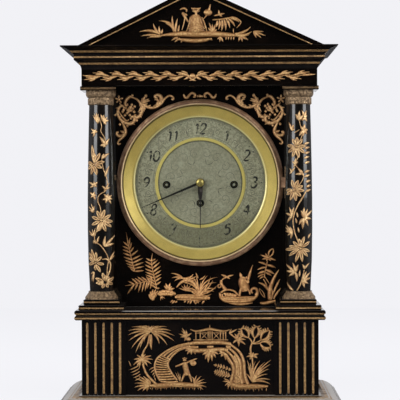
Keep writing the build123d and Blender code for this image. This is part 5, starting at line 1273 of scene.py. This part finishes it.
def bridge(relief):
    """Arched bridge: rails and steps on the left, a deck with hanging leaves, and the right pier."""
    outer = [(-48.5, -23.5), (-53, -15), (-55, -6), (-52.5, 3),
            (-46, 9), (-37.5, 14.5), (-26.5, 19.3), (-13, 22.5)]
    inner = [(-28, -22.5), (-34.5, -14), (-38.5, -6.5), (-38.7, -1),
            (-35.7, 4), (-31.5, 9), (-24, 14.3), (-12, 18)]
    outer_rail, inner_rail = smooth(outer, 60), smooth(inner, 60)
    relief.stroke(outer_rail, (3, 3, 2.8), 1)
    relief.stroke(inner_rail, (3, 3, 2.8), 1)
    for place in range(2, 34, 3):
        relief.arc(outer_rail[place], inner_rail[place], -0.6, 3 if place < 14 else 2.2, 0.7, 5)
    for share in (0.3, 0.7):
        relief.stroke(outer_rail[32:] * (1 - share) + inner_rail[32:] * share, (3.6, 2.6, 2.2), 0.8)
    relief.stroke([(-48, -24), (-38, -25), (-27, -24)], (2, 3.4, 2), 0.9)
    relief.curve([(-16, 20.9), (-4, 22.7), (10, 22.8), (24, 23), (37, 21.2)], (4.2, 6, 6.2, 6, 5), 0.9, 24)
    relief.curve([(-18.8, 17.3), (-6.5, 13.4), (7.4, 13.6), (22.9, 14.6),
            (33.7, 14.2)], (4.4, 6.6, 5.8, 6.2, 5), 0.9, 24)
    for first, last, wide in (((-13, 17.6), (-2.2, 17.3), 5),
            ((8.4, 17.6), (16.2, 18), 4.6), ((31.2, 18.4), (37, 17.4), 5.4)):
        relief.arc(first, last, 0, (0.6 * wide, wide, 0.6 * wide), 0.9, 6)
    for root, tips, wide in (
            ((12.1, 12.4), [(2.8, 8), (5.9, 2.6), (9.8, -1.2), (14.4, 0.3), (19, 4.9), (22.1, 8.8)], 5.4),
            ((-9.6, 15), [(-18.1, 12.7), (-15.7, 8.8), (-10.3, 8.4), (-5.7, 8.6)], 4.6),
            ((29.8, 10.5), [(22.9, 9.6), (25.2, 5.2), (30.4, 1.8), (34.6, 0.6), (35.8, -3)], 4.8)):
        relief.leaves(root, tips, wide, 0.6, 0.9)
    right_outer = smooth([(36.8, 21.6), (48.4, 11.6), (53.2, 0.6),
            (54, -10.5), (55.6, -19.8), (58.8, -27.5)], 40)
    right_inner = smooth([(22.9, 13), (31.4, 6), (38.3, -4.8), (39.4, -13.6), (37, -21.3), (36, -26.7)], 40)
    relief.stroke(0.5 * (right_outer + right_inner)[9:], (8, 15, 15, 17, 20), 0.45)
    for share in (0.05, 0.36, 0.66, 0.95):
        relief.stroke(right_outer * (1 - share) + right_inner * share, (3.4, 4.2, 4.6, 4.6, 5.2), 1)
    relief.stroke(spiral((44, -21.8), (3.4, 5), (200, 480), 20), (3, 3.6, 3.2), 1.5)


def pavilion(relief):
    """Open pavilion on the deck: eaves with a low ridge, posts and two crossed lattice windows."""
    relief.curve([(-11.5, 39), (-6, 37), (2, 37.6), (11.8, 39.2), (22, 37.6),
            (30, 37), (36, 38.6)], (1, 2.6, 3.4, 4.6, 3.4, 2.6, 1), 0.9, 40)
    relief.stroke([(11.8, 39), (11.8, 42), (11.8, 44.5)], (1.8, 1.2, 0.4))
    relief.stroke([(-8, 26.2), (12, 26.4), (34, 26.2)], (1.4, 1.6, 1.4), 0.8)
    for post in (-5, 0.2, 9.8, 12, 14.6, 24.6, 28, 31):
        relief.stroke([(post, 25.5), (post, 31), (post, 37)], (1.7, 1.5, 1.7), 0.8)
    for middle in (5, 19.6):
        for slant in (-1, 1):
            relief.arc((middle - 3.6 * slant, 27.5), (middle + 3.6 * slant, 35), 0, 0.9, 0.5, 5)
    relief.stroke([(-6, 34.6), (12, 34.8), (32, 34.6)], 1, 0.6)
    relief.bead((-14.2, 27.3), 3, 1)
    relief.leaves((-16.2, 30), [(-25.8, 33.5), (-22.4, 37.4), (-21.9, 40.8),
            (-17.2, 38.6), (-10.3, 34.3), (-23.5, 29.6), (-18.6, 24.8)], 3.2, 0.4)
    relief.leaves((45.3, 26), [(38.3, 31.2), (41.4, 34), (47.6, 35.8), (39.9, 21.9), (46.6, 18)], 3.6, 0.8)
    relief.leaves((45.3, 26), [(53.4, 31.6), (55.3, 26.6), (54.6, 20.4)], 3.6, 0.8)
    relief.leaves((35.6, 34), [(43, 37.4), (45.6, 39.4), (38.4, 39.6), (41.6, 29)], 2.6, 0.4)


def porter(relief):
    """Small walking figure with a carrying pole and a round basket, shown plainly."""
    relief.bead((-18.8, 1.8), 2.2, 1)
    relief.stroke([(-21.6, 3.6), (-18.8, 4.5), (-16, 3.6)], (0.9, 1.8, 0.9))
    relief.curve([(-18.5, -0.6), (-18.2, -5), (-16.8, -10.5), (-15.8, -16.6)], (5, 8, 7.6, 9.6), 1.1)
    relief.curve([(-18.6, -15), (-20.6, -19), (-22.6, -23.8)], (4, 3.2, 2.4), 0.9)
    relief.curve([(-13.4, -15.5), (-11.8, -19.5), (-10.3, -24.4)], (4, 3.2, 2.4), 0.9)
    relief.curve([(-20.6, -2.4), (-25, -4.2), (-29.8, -6)], (3.4, 2.8, 2))
    relief.curve([(-16.6, -1.6), (-10, 1.4), (-4, 3.7)], (3, 2.4, 1.6))
    relief.bead((-8.5, -1.8), 3.9, 0.8)
    relief.stroke(spiral((-8.5, -1.8), (2.9, 2.9), (90, 450), 20), 1.2, 1.3)


def plants_right(relief):
    """Broad open leaves on a stem over a flower, long grass, small ferns and the rocky bank on the right."""
    for heart, way, size in (((55, 34), 125, 10), ((67, 34.5), 80, 10.5),
            ((78, 31), 48, 11), ((78, 20.5), -20, 10)):
        angle = np.radians(way)
        ahead = np.array((np.cos(angle), np.sin(angle)))
        root, tip = np.array(heart) - size * 0.6 * ahead, np.array(heart) + size * 0.8 * ahead
        for side in (-1, 1):
            relief.arc(root, tip, side * 4, (1.6, 3.4, 4.2, 3.6, 1.6), 0.9, 14)
            edge = bow(root, tip, side * 4.8, 14)
            outward = side * np.array((-ahead[1], ahead[0]))
            for place in (4, 6, 8, 10, 12):
                relief.leaf(edge[place], edge[place] + outward * 2.8 + ahead * 2.6, 2.6)
        relief.arc(root, (63, 22), 0.8, (1.8, 2.2), 0.7, 8)
    relief.curve([(63, 23), (61, 16), (61.6, 8)], (2.4, 3, 2.6))
    relief.leaves((63.8, 6.4), [(56.1, 5.7), (58.4, 10), (64.6, 11),
            (70.8, 9.2), (69, 4.2), (60.2, 2.4)], 4, 0.6, 0.9)
    relief.curve([(63, 4), (63.5, -4), (64, -14)], (2.6, 2.2, 3))
    relief.leaves((63.1, -25), [(72.3, 1.1), (78.5, -0.5), (85.5, 1.8), (84.7, -3.6), (83.1, -9),
            (81.6, -15.2), (84.7, -22.1), (84.9, -27.5), (75.4, -5.9), (66.9, 0.3)], 3, 2.6, 0.9)
    relief.leaves((62.5, -24.5), [(56.9, 1.8), (57.6, -6), (60.2, -1.5), (55, -14)], 2.6, 0.8, 0.9)
    relief.ground_strip([(33, -24.4), (41.4, -28.8), (50, -30), (64, -30.2), (82, -30)], 8, 18, 3.4)
    relief.curve([(36, -27), (46, -30.4), (60, -29.6), (76, -30.6)], (1, 2.4, 2.8, 2.2, 1), 1.5, 24)
    relief.leaves((36, -25), [(26.8, -24), (29.8, -29.6),
            (33.7, -33.6), (28, -20.4), (38.5, -34.6)], 2.6, 0.5)
    relief.fern([(37, -17.5), (28, -15), (19, -12.5)], 6, 2.3, 7)
    relief.fern([(38, -10.5), (28, -7), (19, -4.5)], 4, 2.1, 6)


moulding_lines()
raking_lines()
pilaster_stripes()
laurel_band()
trunk_scrolls()
column_vines()
dial_marks()
pediment_relief()
lower_trunk_relief()
base_panel_relief()


# Studio
def pale_floor():
    """Floor: a pale board that keeps the shadow, near the wall's white for the camera and dull in mirrors."""
    paint = Paint("pale_floor")
    shade = paint.mix(paint.grain(300.0, 2.0), (0.82, 0.82, 0.84), (0.86, 0.86, 0.88))
    board = paint.node("ShaderNodeBsdfPrincipled", None,
                       {"Base Color": shade, "Roughness": 1.0, "Specular IOR Level": 0.0})
    glow = paint.node("ShaderNodeEmission", None, {"Color": (*WALL, 1.0), "Strength": FLOOR_LIFT})
    dull = paint.node("ShaderNodeBsdfDiffuse", None, {"Color": (0.06, 0.06, 0.065, 1.0)})
    mirrored = paint.node("ShaderNodeLightPath", None, None, "Is Glossy Ray")
    seen = paint.node("ShaderNodeLightPath", None, None, "Is Camera Ray")
    board = paint.node("ShaderNodeMixShader", None, {0: mirrored, 1: board, 2: dull})
    pale = paint.close(paint.node("ShaderNodeMixShader", None, {0: seen * 0.85, 1: board, 2: glow}))
    line = np.linspace(-FLOOR_REACH, FLOOR_REACH, FLOOR_POINTS)
    across, along = np.meshgrid(line, line)
    points = np.stack([across, along, np.full_like(across, -FLOOR_DROP)], -1).reshape(-1, 3)
    number = np.arange(across.size).reshape(across.shape)
    quads = np.stack([number[:-1, :-1], number[:-1, 1:], number[1:, 1:], number[1:, :-1]], -1)
    floor = bpy.data.meshes.new("floor")
    floor.from_pydata(points, [], quads.reshape(-1, 4).tolist())
    floor.materials.append(pale)
    piece = bpy.data.objects.new("floor", floor)
    scene.collection.objects.link(piece)


def set_up(name, data, where, right, back):
    """New lamp or camera at a place in metres, with the directions of its own X and Z axes."""
    pose = np.eye(4)
    pose[:3] = np.stack([right, np.cross(back, right), back, where], 1)
    thing = bpy.data.objects.new(name, data)
    thing.matrix_world = Matrix(pose.tolist())
    scene.collection.objects.link(thing)
    return thing


def soft_box(name, where, aim, size, power, mirrored=True):
    """Rectangular studio lamp at a place in metres, turned towards a point; it may stay out of mirrors."""
    lamp = bpy.data.lights.new(name, "AREA")
    lamp.shape = "RECTANGLE"
    lamp.size, lamp.size_y = size
    lamp.energy = power
    back = np.subtract(where, aim)
    back /= np.linalg.norm(back)
    right = np.cross((0.0, 0.0, 1.0), back)
    right /= np.linalg.norm(right)
    set_up(name, lamp, where, right, back).visible_glossy = mirrored


def backdrop():
    """World: a pale wall to the camera; mirrors see it bright behind the clock and dark in front."""
    world = bpy.data.worlds.new("pale_wall")
    world.use_nodes = True
    scene.world = world
    paint = Paint("backdrop", world.node_tree)
    seen = paint.node("ShaderNodeLightPath", None, None, "Is Camera Ray")
    mirrored = paint.node("ShaderNodeLightPath", None, None, "Is Glossy Ray")
    _, ahead, up = paint.apart(paint.node("ShaderNodeTexCoord", output="Generated"))
    behind = paint.step(ahead, -0.6, 0.1) * (1.0 - 0.55 * paint.step(up, 0.35, 0.9))
    wall = paint.node("ShaderNodeBackground", None, {"Color": (*WALL, 1.0), "Strength": 1.0})
    room = paint.node("ShaderNodeBackground", None, {"Color": (*WALL, 1.0), "Strength": 0.03})
    fill = paint.node("ShaderNodeBackground", None, {"Color": (0.9, 0.92, 1.0, 1.0), "Strength": 0.25})
    mirror = paint.node("ShaderNodeMixShader", None, {0: behind, 1: room, 2: wall})
    rest = paint.node("ShaderNodeMixShader", None, {0: mirrored, 1: fill, 2: mirror})
    whole = paint.node("ShaderNodeMixShader", None, {0: seen, 1: rest, 2: wall})
    paint.node("ShaderNodeOutputWorld", None, {"Surface": whole})


def photo_camera():
    """Camera where the photograph was taken: place, turn, tilt and roll, long lens."""
    turn, tilt, roll = 0.0156, -0.0099, -0.0031
    level = np.array((np.cos(turn), np.sin(turn), 0.0))
    ahead = np.array((-np.sin(turn) * np.cos(tilt), np.cos(turn) * np.cos(tilt), np.sin(tilt)))
    right = np.cos(roll) * level + np.sin(roll) * np.cross(level, ahead)
    lens = bpy.data.cameras.new("photo_camera")
    lens.lens = 127.8
    lens.sensor_width = 36.0
    lens.clip_start = 0.05
    lens.clip_end = 50.0
    scene.camera = set_up("photo_camera", lens, CAMERA_PLACE, right, -ahead)


pale_floor()
backdrop()
soft_box("left_box", (-1.5, -1.3, 0.84), CLOCK_MIDDLE, BOX_SIZE, 42.0)
soft_box("right_box", (1.7, -1.05, 0.84), CLOCK_MIDDLE, BOX_SIZE, 44.0)
soft_box("top_box", (0.0, -0.9, 1.9), (0.0, 0.0, 0.2), (1.4, 0.8), 12.0, False)
photo_camera()
